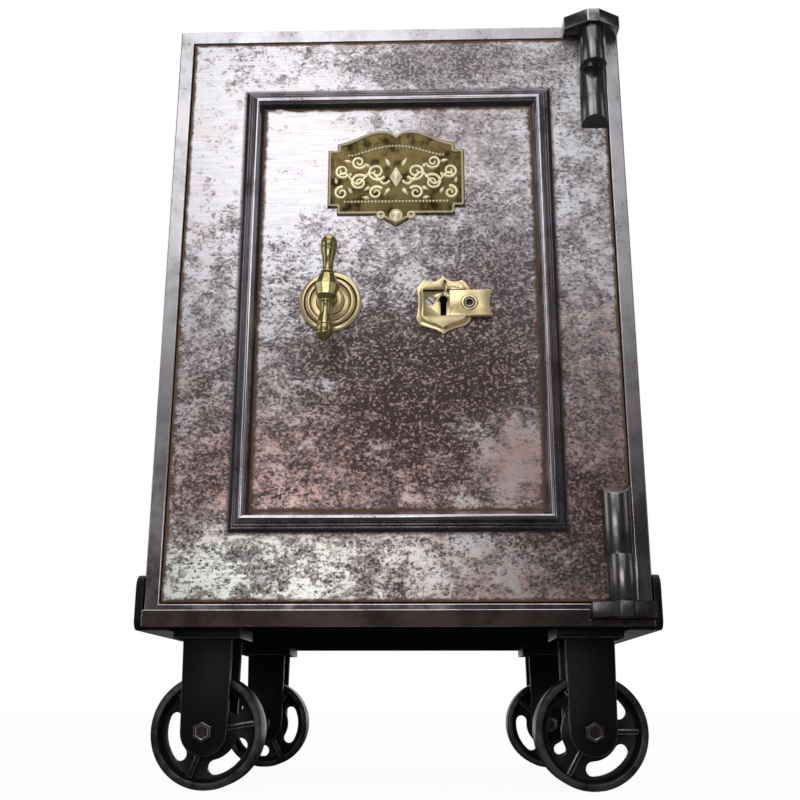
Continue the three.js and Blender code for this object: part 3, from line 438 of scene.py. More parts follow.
def burnished_door():
    """Burnished iron: pale and nearly clean high on the left, pitted and darker in the middle; the pale
    upper left is partly painted sheen.
    """
    f = Finish("burnished_iron", tone(238, 235, 239), 0.3, 1.0)
    cloud = f.grain(130, 3, 0.5, shift=(3, 0, 0))
    patch = f.grain(30, 4, 0.65, warp=0.7)
    drift = f.grain(10, 4, 0.7, stretch=(0.7, 1, 1.2))
    speck = f.grain(3.0, 3, 0.75, stretch=(0.8, 1, 1.1))
    fine = f.grain(2.3, 2, 0.6, stretch=(0.85, 1, 1.1), shift=(4, 1, 2))
    brushed = f.grain(1.8, 3, 0.6, stretch=(0.06, 1, 1))
    # The height mask here and the pools below make the door paler high on the left and darker lower down:
    # partly the iron's own burnish and pitting, partly painted light that follows the window's reflection.
    high = f.ease(f.axis("Z"), 0.2, 0.66)
    low = f.ease(f.axis("Z"), 0.27, 0.2)
    left = f.ease(f.axis("X"), 0.12, -0.16)
    rosy = f.ease(f.sum(cloud, patch, (high, -0.5), (low, -0.2)), 0.5, 1.05)
    f.coat(rosy, tone(228, 184, 173), 0.32)
    f.coat(f.times(low, left), tone(234, 238, 228), 0.3)
    f.coat(f.ease(brushed, 0.35, 0.75, 0, 0.3), tone(180, 174, 178), 0.36)
    pools = ((30, 350, 180, 120, 0.34), (85, 470, 130, 150, 0.28), (-50, 430, 130, 100, 0.2),
             (180, 220, 120, 90, 0.3), (-95, 620, 120, 150, -0.42), (-205, 640, 70, 190, -0.3),
             (40, 712, 190, 40, 0.3), (-185, 340, 70, 130, 0.1), (105, 300, 60, 80, -0.3))
    density = f.sum(0.3, (high, -0.08), (low, -0.13),
                    *[(f.pool(x, z, wide, tall), pitted) for x, z, wide, tall, pitted in pools])
    drifts = f.sum((drift, 0.55), (patch, 0.75), (cloud, 0.25), (density, 0.62), -0.17)
    veil = f.ease(f.sum(speck, drifts), 1.14, 1.36, 0, 0.9)
    deep = f.ease(f.sum(density, (high, -0.5)), -0.15, 0.45)
    shade = f.between(deep, tone(168, 163, 168), tone(116, 96, 95))
    f.coat(veil, shade, 0.42, 0.9)
    pits = f.ease(f.sum(fine, (drift, 0.45), (patch, 0.35), (density, 0.4)), 1.06, 1.13)
    hollow = f.between(deep, tone(112, 106, 110), tone(72, 58, 58))
    f.coat(f.times(pits, 0.85), hollow, 0.5, 0.85)
    gleam = f.ease(f.sum(fine, (speck, 0.6)), 0.72, 0.64, 0, 0.8)
    f.coat(f.times(gleam, veil), tone(222, 196, 190), 0.3, 1.0)
    edges = f.sum(f.beside(*MOULDING_INSIDE, 9), f.beside(*DOOR_EDGE, 7))
    stain = f.ease(f.sum((edges, 0.7), (drift, 0.8)), 0.66, 1.06)
    f.coat(stain, tone(104, 78, 60), 0.55, 0.6)
    f.coat(f.times(f.beside(*MOULDING_OUTSIDE, 4), 0.8), tone(66, 56, 54), 0.5, 0.6)
    f.rise(f.calc("SUBTRACT", 1.0, veil), 0.05)
    f.rise(fine, 0.02)
    return f.done()


def worn_steel(name, colour, dark, roughness, grime=0.5, brown_foot_and_right_shade=0.0, scratched=1.0, metallic=1.0,
               patches=34):
    """Steel with a satin skin, dull patches, scratches and pits; its sixth setting adds a browner foot and a
    painted shade that darkens the right side.
    """
    f = Finish(name, colour, roughness, metallic)
    patch = f.grain(patches)
    speck = f.grain(2.4, 4, 0.75, shift=(2, 2, 2))
    f.coat(f.ease(patch, 0.4, 0.7, 0, grime), dark, roughness + 0.12)
    if scratched:
        scratch = f.grain(2.2, 3, 0.7, stretch=(1, 1, 0.12))
        f.coat(f.ease(scratch, 0.35, 0.75, 0, 0.3 * scratched), dark, roughness + 0.08)
        f.rise(scratch, 0.01 * scratched)
    if brown_foot_and_right_shade:
        # Painted shade: darker towards the right side, where less light falls.
        f.coat(f.ease(f.axis("X"), 0.0, 0.16, 0, 0.4), dark, roughness + 0.06)
        low = f.ease(f.axis("Z"), 0.6, 0.14)
        brown = f.times(low, f.ease(patch, 0.25, 0.6, 0.7, brown_foot_and_right_shade))
        f.coat(brown, tone(82, 68, 69), roughness + 0.06)
    f.coat(f.ease(f.sum(speck, (patch, 0.5)), 0.86, 0.98), tone(62, 52, 50), 0.5, 0.8)
    f.rise(speck, 0.03)
    return f.done()


def satin_black(name="black_paint", chips=0.66, roughness=0.42, gloss=0.2):
    """Old black paint, a little dusty, chipped to dull metal here and there."""
    f = Finish(name, tone(13, 12, 13), roughness, 0.0)
    f.shader.inputs["Specular IOR Level"].default_value = gloss
    patch = f.grain(28)
    speck = f.grain(4.5, 5, 0.7)
    f.coat(f.ease(patch, 0.45, 0.75, 0, 0.6), tone(22, 19, 19), min(roughness + 0.08, 1.0))
    chipped = f.ease(f.sum(speck, (patch, 0.3)), chips + 0.15, chips + 0.24)
    f.coat(chipped, tone(66, 58, 56), 0.45, 0.7)
    f.rise(patch, 0.15)
    f.rise(speck, 0.04)
    return f.done()


def worn_edge():
    """Edges of the black iron, rubbed through to grey metal in places."""
    f = Finish("rubbed_edge", tone(96, 92, 92), 0.32, 0.85)
    f.coat(f.ease(f.grain(9, 5, 0.7), 0.42, 0.6), tone(26, 24, 24), 0.4, 0.0)
    f.rise(f.grain(2, 3, 0.7), 0.02)
    return f.done()


def cast_iron(name, colour, dark, roughness, metallic):
    """Cast or forged iron: sandy skin, dark patches and a little rust."""
    f = Finish(name, colour, roughness, metallic)
    patch = f.grain(22)
    sand = f.grain(1.6, 3, 0.7)
    f.coat(f.ease(patch, 0.4, 0.66), dark, roughness + 0.15)
    f.coat(f.ease(f.sum(sand, (patch, 0.5)), 0.84, 0.96), tone(74, 50, 38), 0.7, 0.2)
    f.rise(sand, 0.12)
    f.rise(patch, 0.3)
    return f.done()


def ground_steel(name, colour, roughness=0.24):
    """Machined and polished steel of the lock and bolts, and of rivets and screws."""
    f = Finish(name, colour, roughness, 1.0)
    line = f.grain(1.2, 2, 0.6, stretch=(0.1, 1, 1))
    patch = f.grain(30)
    f.coat(f.ease(line, 0.3, 0.8, 0, 0.35), tone(120, 118, 116), roughness + 0.1)
    f.coat(f.ease(patch, 0.5, 0.75, 0, 0.5), tone(110, 96, 84), roughness + 0.2)
    f.rise(line, 0.008)
    return f.done()


def brass(name, colour, deep, roughness, age, metallic=1.0):
    """Brass that was polished often: deeper in tone where the cloth misses it."""
    f = Finish(name, colour, roughness, metallic)
    patch = f.grain(14)
    mark = f.grain(1.5, 3, 0.7, stretch=(1, 1, 0.3))
    speck = f.grain(1.8, 4, 0.7, shift=(1, 4, 2))
    f.coat(f.ease(patch, 0.42, 0.7, 0, age), deep, roughness + 0.1)
    f.coat(f.ease(mark, 0.4, 0.8, 0, 0.4 * age), deep, roughness + 0.04)
    f.coat(f.ease(speck, 0.66, 0.74, 0, age), tone(70, 52, 30), 0.5, 0.8)
    f.rise(mark, 0.008)
    f.rise(speck, 0.01)
    return f.done()


def plain_coat(name, colour, second, roughness, size):
    """Paint or packing inside the case, uneven and a little dirty."""
    f = Finish(name, colour, roughness, 0.0)
    patch = f.grain(size, 5, 0.65)
    grit = f.grain(1.4, 3, 0.7)
    f.coat(f.ease(patch, 0.38, 0.68), second, min(roughness + 0.1, 1.0))
    f.coat(f.ease(grit, 0.62, 0.75, 0, 0.35), tone(60, 52, 44), roughness)
    f.rise(grit, 0.05)
    f.rise(patch, 0.1)
    return f.done()


DOOR_IRON = burnished_door()
FRAME_IRON = worn_steel("frame_iron", tone(240, 237, 242), tone(176, 170, 176), 0.3, 0.5, 1.0, 0.4)
BRIGHT_EDGE = worn_steel("bright_edge", tone(238, 236, 238), tone(150, 140, 140), 0.22, 0.5)
CASE_IRON = worn_steel("case_iron", tone(172, 165, 166), tone(126, 116, 115), 0.36, 0.75, 0.85, 0.5, 0.92,
                       patches=13)
MOULD_STEEL = worn_steel("moulding_steel", tone(220, 218, 224), tone(150, 143, 147), 0.13, 0.5, 0, 0)
# A darker copy of the moulding steel for its flutes and inner slope: painted shade.
MOULDING_SHADE = worn_steel("moulding_painted_shade", tone(134, 128, 133), tone(70, 62, 64), 0.22, 0.7, 0, 0)
HINGE_STEEL = worn_steel("hinge_steel", tone(158, 155, 156), tone(70, 62, 62), 0.23, 0.8, 0, 0)
INNER_STEEL = worn_steel("inner_steel", tone(110, 104, 100), tone(70, 60, 56), 0.4, 0.6)
RIVET_STEEL = ground_steel("rivet_steel", tone(222, 219, 220), 0.36)
BRIGHT_STEEL = ground_steel("bright_steel", tone(196, 194, 190))
BLACK_PAINT = satin_black()
# Black paint with no sheen, full roughness and hardly any chips, for undersides: painted shade under the
# safe.
UNDERSIDE_SHADE = satin_black("underside_shade", 0.9, 0.9, 0.0)
RUBBED_EDGE = worn_edge()
WHEEL_IRON = cast_iron("wheel_iron", tone(34, 33, 35), tone(18, 16, 17), 0.4, 0.4)
RIM_STEEL = cast_iron("rim_steel", tone(208, 205, 208), tone(104, 98, 98), 0.25, 0.9)
RAIL_IRON = worn_steel("rail_iron", tone(70, 56, 53), tone(36, 28, 28), 0.38, 0.8, 0, 0, 0.7)
WHEEL_FACE = cast_iron("wheel_face", tone(96, 93, 94), tone(40, 38, 38), 0.36, 0.8)
BOLT_IRON = cast_iron("bolt_iron", tone(58, 50, 48), tone(30, 26, 26), 0.36, 0.7)
HANDLE_BRASS = brass("handle_brass", tone(220, 206, 146), tone(128, 110, 62), 0.17, 0.5, 0.95)
ROSE_BRASS = brass("pale_brass", tone(252, 230, 178), tone(232, 190, 134), 0.24, 0.16, 0.8)
PLATE_BRASS = brass("plate_brass", tone(136, 120, 74), tone(50, 40, 20), 0.34, 1.0, 0.9)
# Darker brass for grooves and recesses: painted shade there, with some tarnish
SHADE_AND_TARNISH_BRASS = brass("shade_and_tarnish_brass", tone(92, 66, 36), tone(48, 34, 20), 0.45, 0.6, 0.8)
PLATE_BRIGHT = brass("plate_bright", tone(252, 242, 204), tone(214, 192, 136), 0.3, 0.25, 0.62)
LINING = plain_coat("lining_paint", tone(116, 126, 116), tone(92, 100, 90), 0.6, 60)
FILLING = plain_coat("fire_filling", tone(206, 194, 168), tone(178, 162, 132), 0.9, 12)


# Door furniture

def door_moulding():
    """The mitred moulding that frames the door's panel."""
    wide, high = 18.6, 9.4
    share = [(0, 0.2), (0.02, 0.24), (0.18, 0.36), (0.2, 0.29), (0.25, 0.31), (0.28, 0.45), (0.31, 0.475),
             (0.34, 0.48), (0.36, 0.4), (0.4, 0.42), (0.43, 0.57), (0.455, 0.6), (0.48, 0.6), (0.5, 0.52)]
    for step in range(13):
        angle = math.pi * (1 - step / 12)
        share.append((0.665 + 0.155 * math.cos(angle), 0.66 + 0.34 * math.sin(angle)))
    share += [(0.86, 0.5), (0.93, 0.3), (1, 0.16)]
    profile = [(0, SEAT)] + [(a * wide, b * high) for a, b in share] + [(wide, SEAT), (0, SEAT)]
    bottom, top, half = 225.7, 682.0, 155.5
    half_high = (top - bottom) / 2
    piece = finished(mitred("moulding_bars", half, half_high, profile), MOULD_STEEL, MOULDING_SHADE)

    # The flutes and the inner slope take the darker copy: painted shade.
    def flute(face):
        inwards = min(half - abs(face.center.x) / MM, half_high - abs(face.center.y) / MM)
        return not 0.5 < inwards / wide < 0.85
    mark(piece, 1, flute)
    soften(piece, 0.22, 2, 24)
    facing(piece, 0, 0, (top + bottom) / 2)
    fitted(piece, "door", "dark_steel", "door_moulding")


def handle():
    """The T handle: a ten-sided hub, two swelling arms with grooved ends and its neck, on a ringed rose."""
    hub = turned("handle_hub", [
        (0, -14), (5.2, -14), (5.9, -13.4), (9.0, -9.6), (9.4, -8.9), (11.8, 0.3), (12, 0.9), (11.8, 1.5),
        (7.5, 11.9), (6.9, 12.3), (0, 12.3)], 10, math.pi / 10)
    arm = [(0, 0), (5.4, 0.5), (5.4, 13), (6.4, 14.4), (6.4, 15.2), (5.3, 16.4), (5.0, 20), (5.1, 25),
           (6.2, 31), (7.3, 35.4), (7.8, 38), (7.3, 38.5), (7.3, 39.1), (7.9, 39.6), (8.0, 42), (7.9, 44.3),
           (7.3, 44.8), (7.3, 45.3), (7.8, 45.8), (6.9, 48.4), (4.6, 51.4), (2.4, 52.8), (0, 53.2)]
    upper = turned("handle_arm", arm, 48)
    lower = turned("handle_arm_low", [(r, -h) for r, h in arm], 48)
    soften(hub, 0.3, 1, 20)
    bpy.ops.object.shade_flat()
    for part in (hub, upper, lower):
        place(part, spot(HANDLE_X, -HANDLE_REACH, LOCK_Z), Matrix.Rotation(HANDLE_LEAN, 4, "Y"))
    neck = turned("handle_neck", [
        (0, 0), (7.6, 0), (7.6, 2.2), (6.7, 3.4), (6.3, 8), (6.5, 18), (7.6, 25), (7.6, 31), (0, 31)], 48)
    facing(neck, HANDLE_X, -8.3, LOCK_Z)
    for part in (upper, lower, neck):
        soften(part, 0.25, 2, 30)
    whole = finished(joined("handle_bar", hub, upper, lower, neck), HANDLE_BRASS)
    fitted(whole, "handle", "handle_brass", "t_handle")

    rose = turned("rose", [
        (5.7, SEAT), (30.2, SEAT), (30.5, 0.6), (30.5, 1.9), (30.1, 2.5), (29.2, 2.9), (27.4, 3.3),
        (26.2, 3.4), (25.6, 3.0), (25.1, 2.3), (24.6, 2.4), (24.0, 3.6), (23.2, 4.1), (21.4, 4.5),
        (20.6, 4.4), (20.0, 3.6), (19.4, 3.1), (17, 2.75), (14, 2.7), (13.3, 3.2), (12.7, 5.6),
        (12.1, 7.6), (11.4, 8.0), (5.7, 8.0), (5.7, SEAT)], 96)
    finished(rose, ROSE_BRASS, SHADE_AND_TARNISH_BRASS)
    # The grooves take the darker brass: painted shade in them, with some tarnish.
    grooves = ((24.4, 25.9), (19.5, 20.5), (13.1, 14.2))
    mark(rose, 1, lambda face: any(inner < off_axis(face) < outer for inner, outer in grooves))
    facing(rose, HANDLE_X, 0, LOCK_Z)
    smooth(rose, 32)
    fitted(rose, "door", "pale_brass", "handle_rose")


def shield_outline(inset):
    """Outline of the escutcheon: a heater shield with a bracketed head."""
    wide, high = 26.5 - inset, 30.65 - inset

    def at(x, z):
        return KEY_X + x * wide, SHIELD_Z + z * high
    half = [(0.0, -1.0)]
    for pull, end in (((0.2, -0.84), (0.6, -0.76)), ((1, -0.68), (1, -0.42)), ((0.86, 0.1), (1, 0.57))):
        half += bend(half[-1], pull, end, 9)
    half += [(0.71, 0.85)]
    half += bend(half[-1], (0.3, 0.64), (0, 1), 9)
    return [at(x, z) for x, z in half] + [at(-x, z) for x, z in half[-2:0:-1]]


def key_hole_tool(low, high):
    top = [(KEY_X + x, KEY_Z + z) for x, z in arc(0, 0, 4.2, -48, 228, 24)]
    foot = [(KEY_X - 2.8, KEY_Z - 16.5), (KEY_X + 2.8, KEY_Z - 16.5)]
    return blank("key_hole_tool", top + foot, low, high)


def lock_furniture():
    """The shield-shaped escutcheon with its channel, the cover that slides in it, and its catch."""
    border = soften(blank("shield_border", shield_outline(0), 0.25, 2.5), 0.6, 3, 30)
    raised = soften(blank("shield_raised", shield_outline(4.4), 1.0, 7.5), 0.8, 3, 30)
    shield = carve(border, raised, "UNION")
    carve(shield, block("channel", (25.0, 110), (SHIELD_Z - 13.55, SHIELD_Z + 13.55), (1.5, 9)))
    carve(shield, block("slit", (45.4, 47.8), (KEY_Z, KEY_Z + 18), (1.5, 9)))
    carve(shield, key_hole_tool(-1, 9))
    sunk = turned("screw_seat", [(0, -1), (4.8, -1), (4.8, 9), (0, 9)], 40)
    carve(shield, place(sunk, flat_spot(SCREW_X, LOCK_Z)))
    shield.name = "shield"
    finished(shield, ROSE_BRASS, SHADE_AND_TARNISH_BRASS)

    # The walls of the channel, the slit and the key hole take the darker brass: painted shade in these
    # recesses.
    def shaded_sunk_wall(face):
        x, z, level = face.center / MM
        inside = abs(z - SHIELD_Z) < 13.6 or abs(x - 46.6) < 1.3
        return abs(face.normal.z) < 0.4 and inside and 25.5 < x < 72 and level > 1.2
    mark(shield, 1, shaded_sunk_wall)
    soften(shield, 0.18, 1, 50)
    facing(shield, 0, 0, 0)
    fitted(shield, "door", "pale_brass", "escutcheon")

    screw = turned("screw_head", [(0, -4), (4.4, -4), (4.5, 1.0), (4.2, 1.3), (0, 1.3)], 40)
    carve(screw, place(block("screw_slot", (-6, 6), (-0.6, 0.6), (0.4, 2)), Vector(),
                       Matrix.Rotation(math.radians(-42), 4, "Z")))
    finished(screw, RIVET_STEEL, SHADE_AND_TARNISH_BRASS)
    # The slot takes the darker brass: painted shade in it.
    mark(screw, 1, lambda face: face.center.z / MM < 1.25 and off_axis(face) < 4.2)
    facing(screw, SCREW_X, 0, LOCK_Z)
    smooth(screw)
    fitted(screw, "door", "bright_steel", "escutcheon_screw")

    left, right, half = 50.3, 92.2, 13.25
    hollow = bend((right, -half), (right - 6, 0), (right, half), 12)
    outline = [(left, -half), (right, -half)] + hollow + [(left, half)]
    slab = soften(blank("cover_slab", outline, 1.8, 7.2), 0.5, 2, 40)
    ring = turned("catch_ring", [
        (5.3, 5.0), (8.2, 5.0), (8.2, 7.2), (7.9, 7.35), (7.6, 7.9), (7.2, 8.0), (5.7, 8.0), (5.3, 7.6),
        (5.3, 5.0)], 56)
    well = turned("catch_well", [(0, 3.6), (5.3, 3.6), (5.3, 9), (0, 9)], 56)
    carve(slab, place(well, flat_spot(CATCH_X, 0)))
    place(ring, flat_spot(CATCH_X, 0))
    cover = finished(joined("key_cover", slab, ring), ROSE_BRASS, SHADE_AND_TARNISH_BRASS)

    # The catch's well and the groove round its ring take the darker brass: painted shade in them.
    def well_or_groove(face):
        corners = [cover.data.vertices[number].co / MM for number in face.vertices]
        reach = max(math.hypot(x - CATCH_X, y) for x, y, _ in corners)
        return reach < 5.8 or (7.3 < reach < 8.5 and abs(face.normal.z) < 0.9)
    mark(cover, 1, well_or_groove)
    facing(cover, 0, 0, SHIELD_Z)
    smooth(cover)
    fitted(cover, "sliding_cover", "pale_brass", "sliding_cover")

    button = turned("catch_stud", [
        (0, 5.6), (4.9, 5.6), (4.95, 7.2), (4.5, 7.9), (3.9, 8.0), (3.3, 7.8), (2.6, 7.0), (1.4, 6.5),
        (0, 6.4)], 48)
    finished(button, RIVET_STEEL, SHADE_AND_TARNISH_BRASS)
    # The stud's dished middle takes the darker brass: painted shade in it.
    mark(button, 1, lambda face: off_axis(face) < 3.2)
    facing(button, CATCH_X, 0, SHIELD_Z)
    smooth(button)
    fitted(button, "catch_button", "bright_steel", "catch_button")


def name_plate_outline(inset):
    """Outline of the brass plate: a humped head, stepped sides and a foot with two scrolls and a pendant."""
    half = 68.5 - inset
    neck = half - 9.5
    peak = 635.5 - inset
    eaves = peak - 14.5
    shoulder = eaves - 7.2
    ledge = shoulder - 62.9 + 2 * inset
    foot = ledge - 8.4
    scroll = 4 - inset / 2
    right = [(0, foot - 12.5 + inset)] + arc(15, foot - 1, scroll, 240, 360, 8)
    right += [(15 + scroll, foot), (neck, foot), (neck, ledge), (half, ledge), (half, shoulder),
              (neck, shoulder), (neck, eaves)]
    right += swing(right[-1], (neck - 18, eaves + 3), (29.9, peak), (13.9, peak), 14)
    right += bend(right[-1], (4.6, peak), (0, peak - 6.2), 5)
    return right + [(-x, z) for x, z in right[-2:0:-1]]


def along(points, pitch):
    """Evenly spaced places on a closed outline, each with its direction in radians."""
    places, spare = [], 0.0
    for a, b in zip(points, points[1:] + points[:1]):
        length = math.dist(a, b)
        angle = math.atan2(b[1] - a[1], b[0] - a[0])
        while spare < length:
            t = spare / length
            places.append((a[0] + (b[0] - a[0]) * t, a[1] + (b[1] - a[1]) * t, angle))
            spare += pitch
        spare -= length
    return places


def tendril(name, points, thick, thin):
    """A raised stem through (x, z) points on the plate, tapering from thick to thin."""
    line = bpy.data.curves.new(name, "CURVE")
    line.dimensions = "3D"
    line.bevel_depth, line.bevel_resolution, line.use_fill_caps = MM, 1, True
    spline = line.splines.new("POLY")
    spline.points.add(len(points) - 1)
    for number, (point, (x, z)) in enumerate(zip(spline.points, points)):
        point.co = (x * MM, z * MM, 0, 1)
        point.radius = thick + (thin - thick) * number / (len(points) - 1)
    only(stand(bpy.data.objects.new(name, line)))
    bpy.ops.object.convert(target="MESH")
    return place(named(name), flat_spot(0, 0, PLATE_FACE))


def curl(x, z, radius, start, sweep, steps=22):
    """Points of a scroll that winds inwards round (x, z)."""
    points = []
    for step in range(steps + 1):
        t = step / steps
        angle = math.radians(start + sweep * t)
        reach = radius * (1 - 0.82 * t)
        points.append((x + reach * math.cos(angle), z + reach * math.sin(angle)))
    return points


def leaf(name, x, z, length, wide, lean):
    """A small almond-shaped leaf that stands off the plate."""
    clear()
    bpy.ops.mesh.primitive_uv_sphere_add(segments=12, ring_count=6, radius=MM)
    blade = named(name)
    for corner in blade.data.vertices:
        corner.co.x += 0.25 * MM * (1 - (corner.co.y / MM) ** 2)
        corner.co.y *= 1 - 0.45 * abs(corner.co.x / MM)
    turn = Matrix.Rotation(math.radians(lean), 4, "Z") @ Matrix.Diagonal((length / 2, wide / 2, 1.1, 1))
    return place(blade, flat_spot(x, z, PLATE_FACE), turn)


def scrollwork():
    """Common foliate scrolls and leaves beside a lozenge, rows of pearls, and a scrolled foot."""
    scrolls = ((19.5, 589, 9.6, 215, 560), (37, 577.5, 9.2, 145, -560), (54, 590, 7.6, 215, 560),
               (20, 566, 7.4, 145, -520), (37.5, 600, 7.4, 215, 520), (54.5, 566, 7.2, 100, -500))
    leaves = ((8, 599, 10, 5, 62), (28.5, 571, 8, 4.4, -35), (28.5, 596, 8, 4.4, 35), (48, 601, 9, 4.4, 8),
              (46, 586, 7, 4, -65), (8.5, 568, 10, 5, -55), (60, 579, 7, 3.8, 80), (29.5, 560.5, 8, 4.2, 10),
              (45.5, 568, 8, 4, 60))
    wave = [(6.5 + t * 0.9, 582 + 6.2 * math.sin(t * 0.205 + 3.6)) for t in range(58)]
    tendrils = [("scroll", curl(*scroll), 1.75, 0.95) for scroll in scrolls] + [("stem", wave, 1.5, 1.1)]
    pieces = []
    for side in (-1, 1):
        for name, points, thick, thin in tendrils:
            pieces.append(tendril(name, [(side * x, z) for x, z in points], thick, thin))
        for x, z, length, wide, lean in leaves:
            pieces.append(leaf("leaf", side * x, z, length, wide, lean if side > 0 else 180 - lean))
    lozenge = turned("lozenge", [
        (0, 1.9), (8.6, 1.9), (8.4, 2.7), (6.6, 3.3), (6.0, 2.6), (5.4, 2.6), (4.6, 3.2), (2.4, 3.9),
        (0, 4.0)], 4)
    pieces.append(place(lozenge, flat_spot(0, 583), Matrix.Diagonal((0.8, 1.3, 1, 1))))

    clear()
    bpy.ops.mesh.primitive_ico_sphere_add(subdivisions=2, radius=1.4 * MM)
    pearl = named("pearl")
    pitch, hump, reach = 3.4, 10.5, 46
    pearls = [(step * pitch, 556.2) for step in range(-15, 16)]
    for x in [step * pitch for step in range(-14, 15)]:
        fall = math.radians(min(abs(x), reach) / reach * 90)
        pearls.append((x, 607.5 + hump * math.cos(fall) ** 1.4))
    for x, z in pearls:
        pieces.append(place(twin(pearl, "bead"), flat_spot(x, z, PLATE_FACE)))
    bpy.data.objects.remove(pearl, do_unlink=True)

    for side in (-1, 1):
        ring = turned("foot_scroll", [
            (1.6, 0.4), (4.2, 0.4), (4.3, 2.6), (3.6, 3.3), (2.6, 3.3), (2.0, 2.6), (1.6, 0.4)], 32)
        pieces.append(place(ring, flat_spot(side * 15, 541.5)))
    boss = turned("pendant_boss", [
        (0, 1.9), (6.6, 1.9), (6.6, 2.8), (5.8, 3.3), (5.2, 2.7), (4.4, 2.9), (2.2, 4.0), (0, 4.2)], 40)
    pieces.append(place(boss, flat_spot(0, 541.2)))
    return smooth(finished(joined("plate_scrollwork", *pieces), PLATE_BRIGHT), 50)


def brass_plate():
    """The cast plate: a roped rim and raised scrollwork on a dark mottled field."""
    field = soften(blank("plate_field", name_plate_outline(0), SEAT, PLATE_FACE), 0.4, 2, 40)
    finished(field, PLATE_BRASS)
    rope = []
    clear()
    bpy.ops.mesh.primitive_ico_sphere_add(subdivisions=1, radius=MM)
    bead = named("rope_bead")
    for x, z, angle in along(name_plate_outline(1.9), 2.3):
        strand = twin(bead, "rope")
        turn = Matrix.Rotation(angle + 0.6, 4, "Z") @ Matrix.Diagonal((1.0, 1.8, 1.5, 1))
        strand.matrix_world = Matrix.Translation(flat_spot(x, z, 2.25)) @ turn
        rope.append(strand)
    bpy.data.objects.remove(bead, do_unlink=True)
    rope = finished(joined("plate_rope", *rope), PLATE_BRIGHT)
    only(rope)
    settle()
    smooth(rope, 60)
    plate = joined("door_plaque", field, rope, scrollwork())
    facing(plate, PLATE_X, 0, 0)
    fitted(plate, "door", "plate_brass", "brass_plate")


def door_rivets():
    """Flush rivets that show through the burnishing."""
    rivets = []
    head = [(0, -0.5), (4.4, -0.5), (4.4, 0.02), (3.9, 0.12), (2.5, 0.18), (0, 0.2)]
    for x, z in ((-194.8, 188.9), (-123.5, 182.5), (-95.4, 200.4), (94.6, 190.0), (-121.9, 662.0)):
        rivets.append(facing(turned("flush_rivet", head, 32), x, 0, z))
    whole = finished(joined("door_rivets", *rivets), RIVET_STEEL)
    smooth(whole)
    fitted(whole, "door", "burnished_iron")


def case_rivets():
    """Low riveted heads down the edges of the casing's sides and round its back."""
    head = [(0, -0.4), (4.7, -0.4), (4.7, 0.06), (4.2, 0.24), (2.8, 0.36), (0, 0.4)]
    rows = [175 + 78.5 * step for step in range(8)]
    hidden = 205                # the trolley's side angles cover what is lower than this
    seats = []
    for side in (-1, 1):
        outwards = Matrix.Rotation(side * math.pi / 2, 4, "Y")
        seats += [(side * CASE_HALF, y, z, outwards) for z in rows if z > hidden for y in (70, 440)]
    backwards = Matrix.Rotation(-math.pi / 2, 4, "X")
    round_back = [(x, z) for z in rows for x in (-212, 212)]
    round_back += [(x, z) for x in (-127, -42.5, 42.5, 127) for z in (rows[0], rows[-1])]
    seats += [(x, CASE_BACK, z, backwards) for x, z in round_back]
    rivets = [place(turned("case_rivet", head, 20), spot(x, y, z), turn) for x, y, z, turn in seats]
    whole = finished(joined("case_rivets", *rivets), INNER_STEEL)
    smooth(whole, 50)
    fitted(whole, "case_and_trolley", "frame_iron")


# Hinges

def hinge(end, low, high, side):
    """A lug on the frame at that end, and on its side the knuckle with its half-round strap."""
    wide, waist = 28.5, 5.75
    lug = blank("lug_" + end, [(-wide, -SEAT), (-wide, -16), (-waist, -30), (waist, -30), (wide, -16),
                               (wide, -SEAT)], low, high)
    finished(lug, HINGE_STEEL, FRAME_IRON)
    soften(lug, 0.9, 2, 30, 1)
    place(lug, spot(HINGE_X, 0, 0))
    fitted(lug, "case_and_trolley", "dark_steel", "hinge_lug_" + end)

    start = (low if side < 0 else high) + side * 0.5
    step = start + side * 40.5
    tip = step + side * 65
    half = 13.5
    foot = [(half, -SEAT), (-half, -SEAT)]
    eye = blank("eye", foot + arc(0, HINGE_Y, half, 180, 360, 28), *sorted((start, step)))
    strap_outline = foot + arc(0, -1.5, half, 180, 360, 28, 10.7 / half)
    strap = blank("strap", strap_outline, *sorted((step - side * 0.5, tip)))
    open_up(strap)
    bpy.ops.mesh.bisect(plane_co=(0, 0, tip * MM), plane_no=(0, -0.594, 0.804 * side), use_fill=True,
                        clear_outer=True)
    close_up()
    soften(eye, 0.8, 2, 40)
    soften(strap, 0.7, 2, 40)
    knuckle = finished(joined("knuckle_" + end, eye, strap), HINGE_STEEL)
    place(knuckle, spot(HINGE_X, 0, 0))
    smooth(knuckle, 30)
    fitted(knuckle, "door", "dark_steel", "hinge_knuckle_" + end)


# Trolley

def fork(key):
    """Two flat sides with round feet under a crown plate."""
    x, y, _, _ = WHEELS[key]
    outline = arc(0, 0, 21.2, 180, 360, 28) + [(22.75, 83.5), (-22.75, 83.5)]
    sides = []
    for near, far in ((21.8, 27.8), (-27.8, -21.8)):
        plate = finished(blank("fork_side", outline, near, far), BLACK_PAINT, RUBBED_EDGE)
        sides.append(soften(plate, 0.9, 2, 35, 1))
    crown = finished(block("crown", (-31, 31), (81.6, 92), (-34, 34)), BLACK_PAINT, RUBBED_EDGE, UNDERSIDE_SHADE)
    # The crown's underside takes the dull black: painted shade beneath it.
    mark(crown, 2, lambda face: face.normal.y < -0.5)
    soften(crown, 1.0, 2, 35, 1)
    whole = joined("wheel_fork_" + key, *sides, crown)
    facing(whole, x, y, AXLE_Z)
    fitted(whole, "case_and_trolley", "black_paint", "fork_" + key)


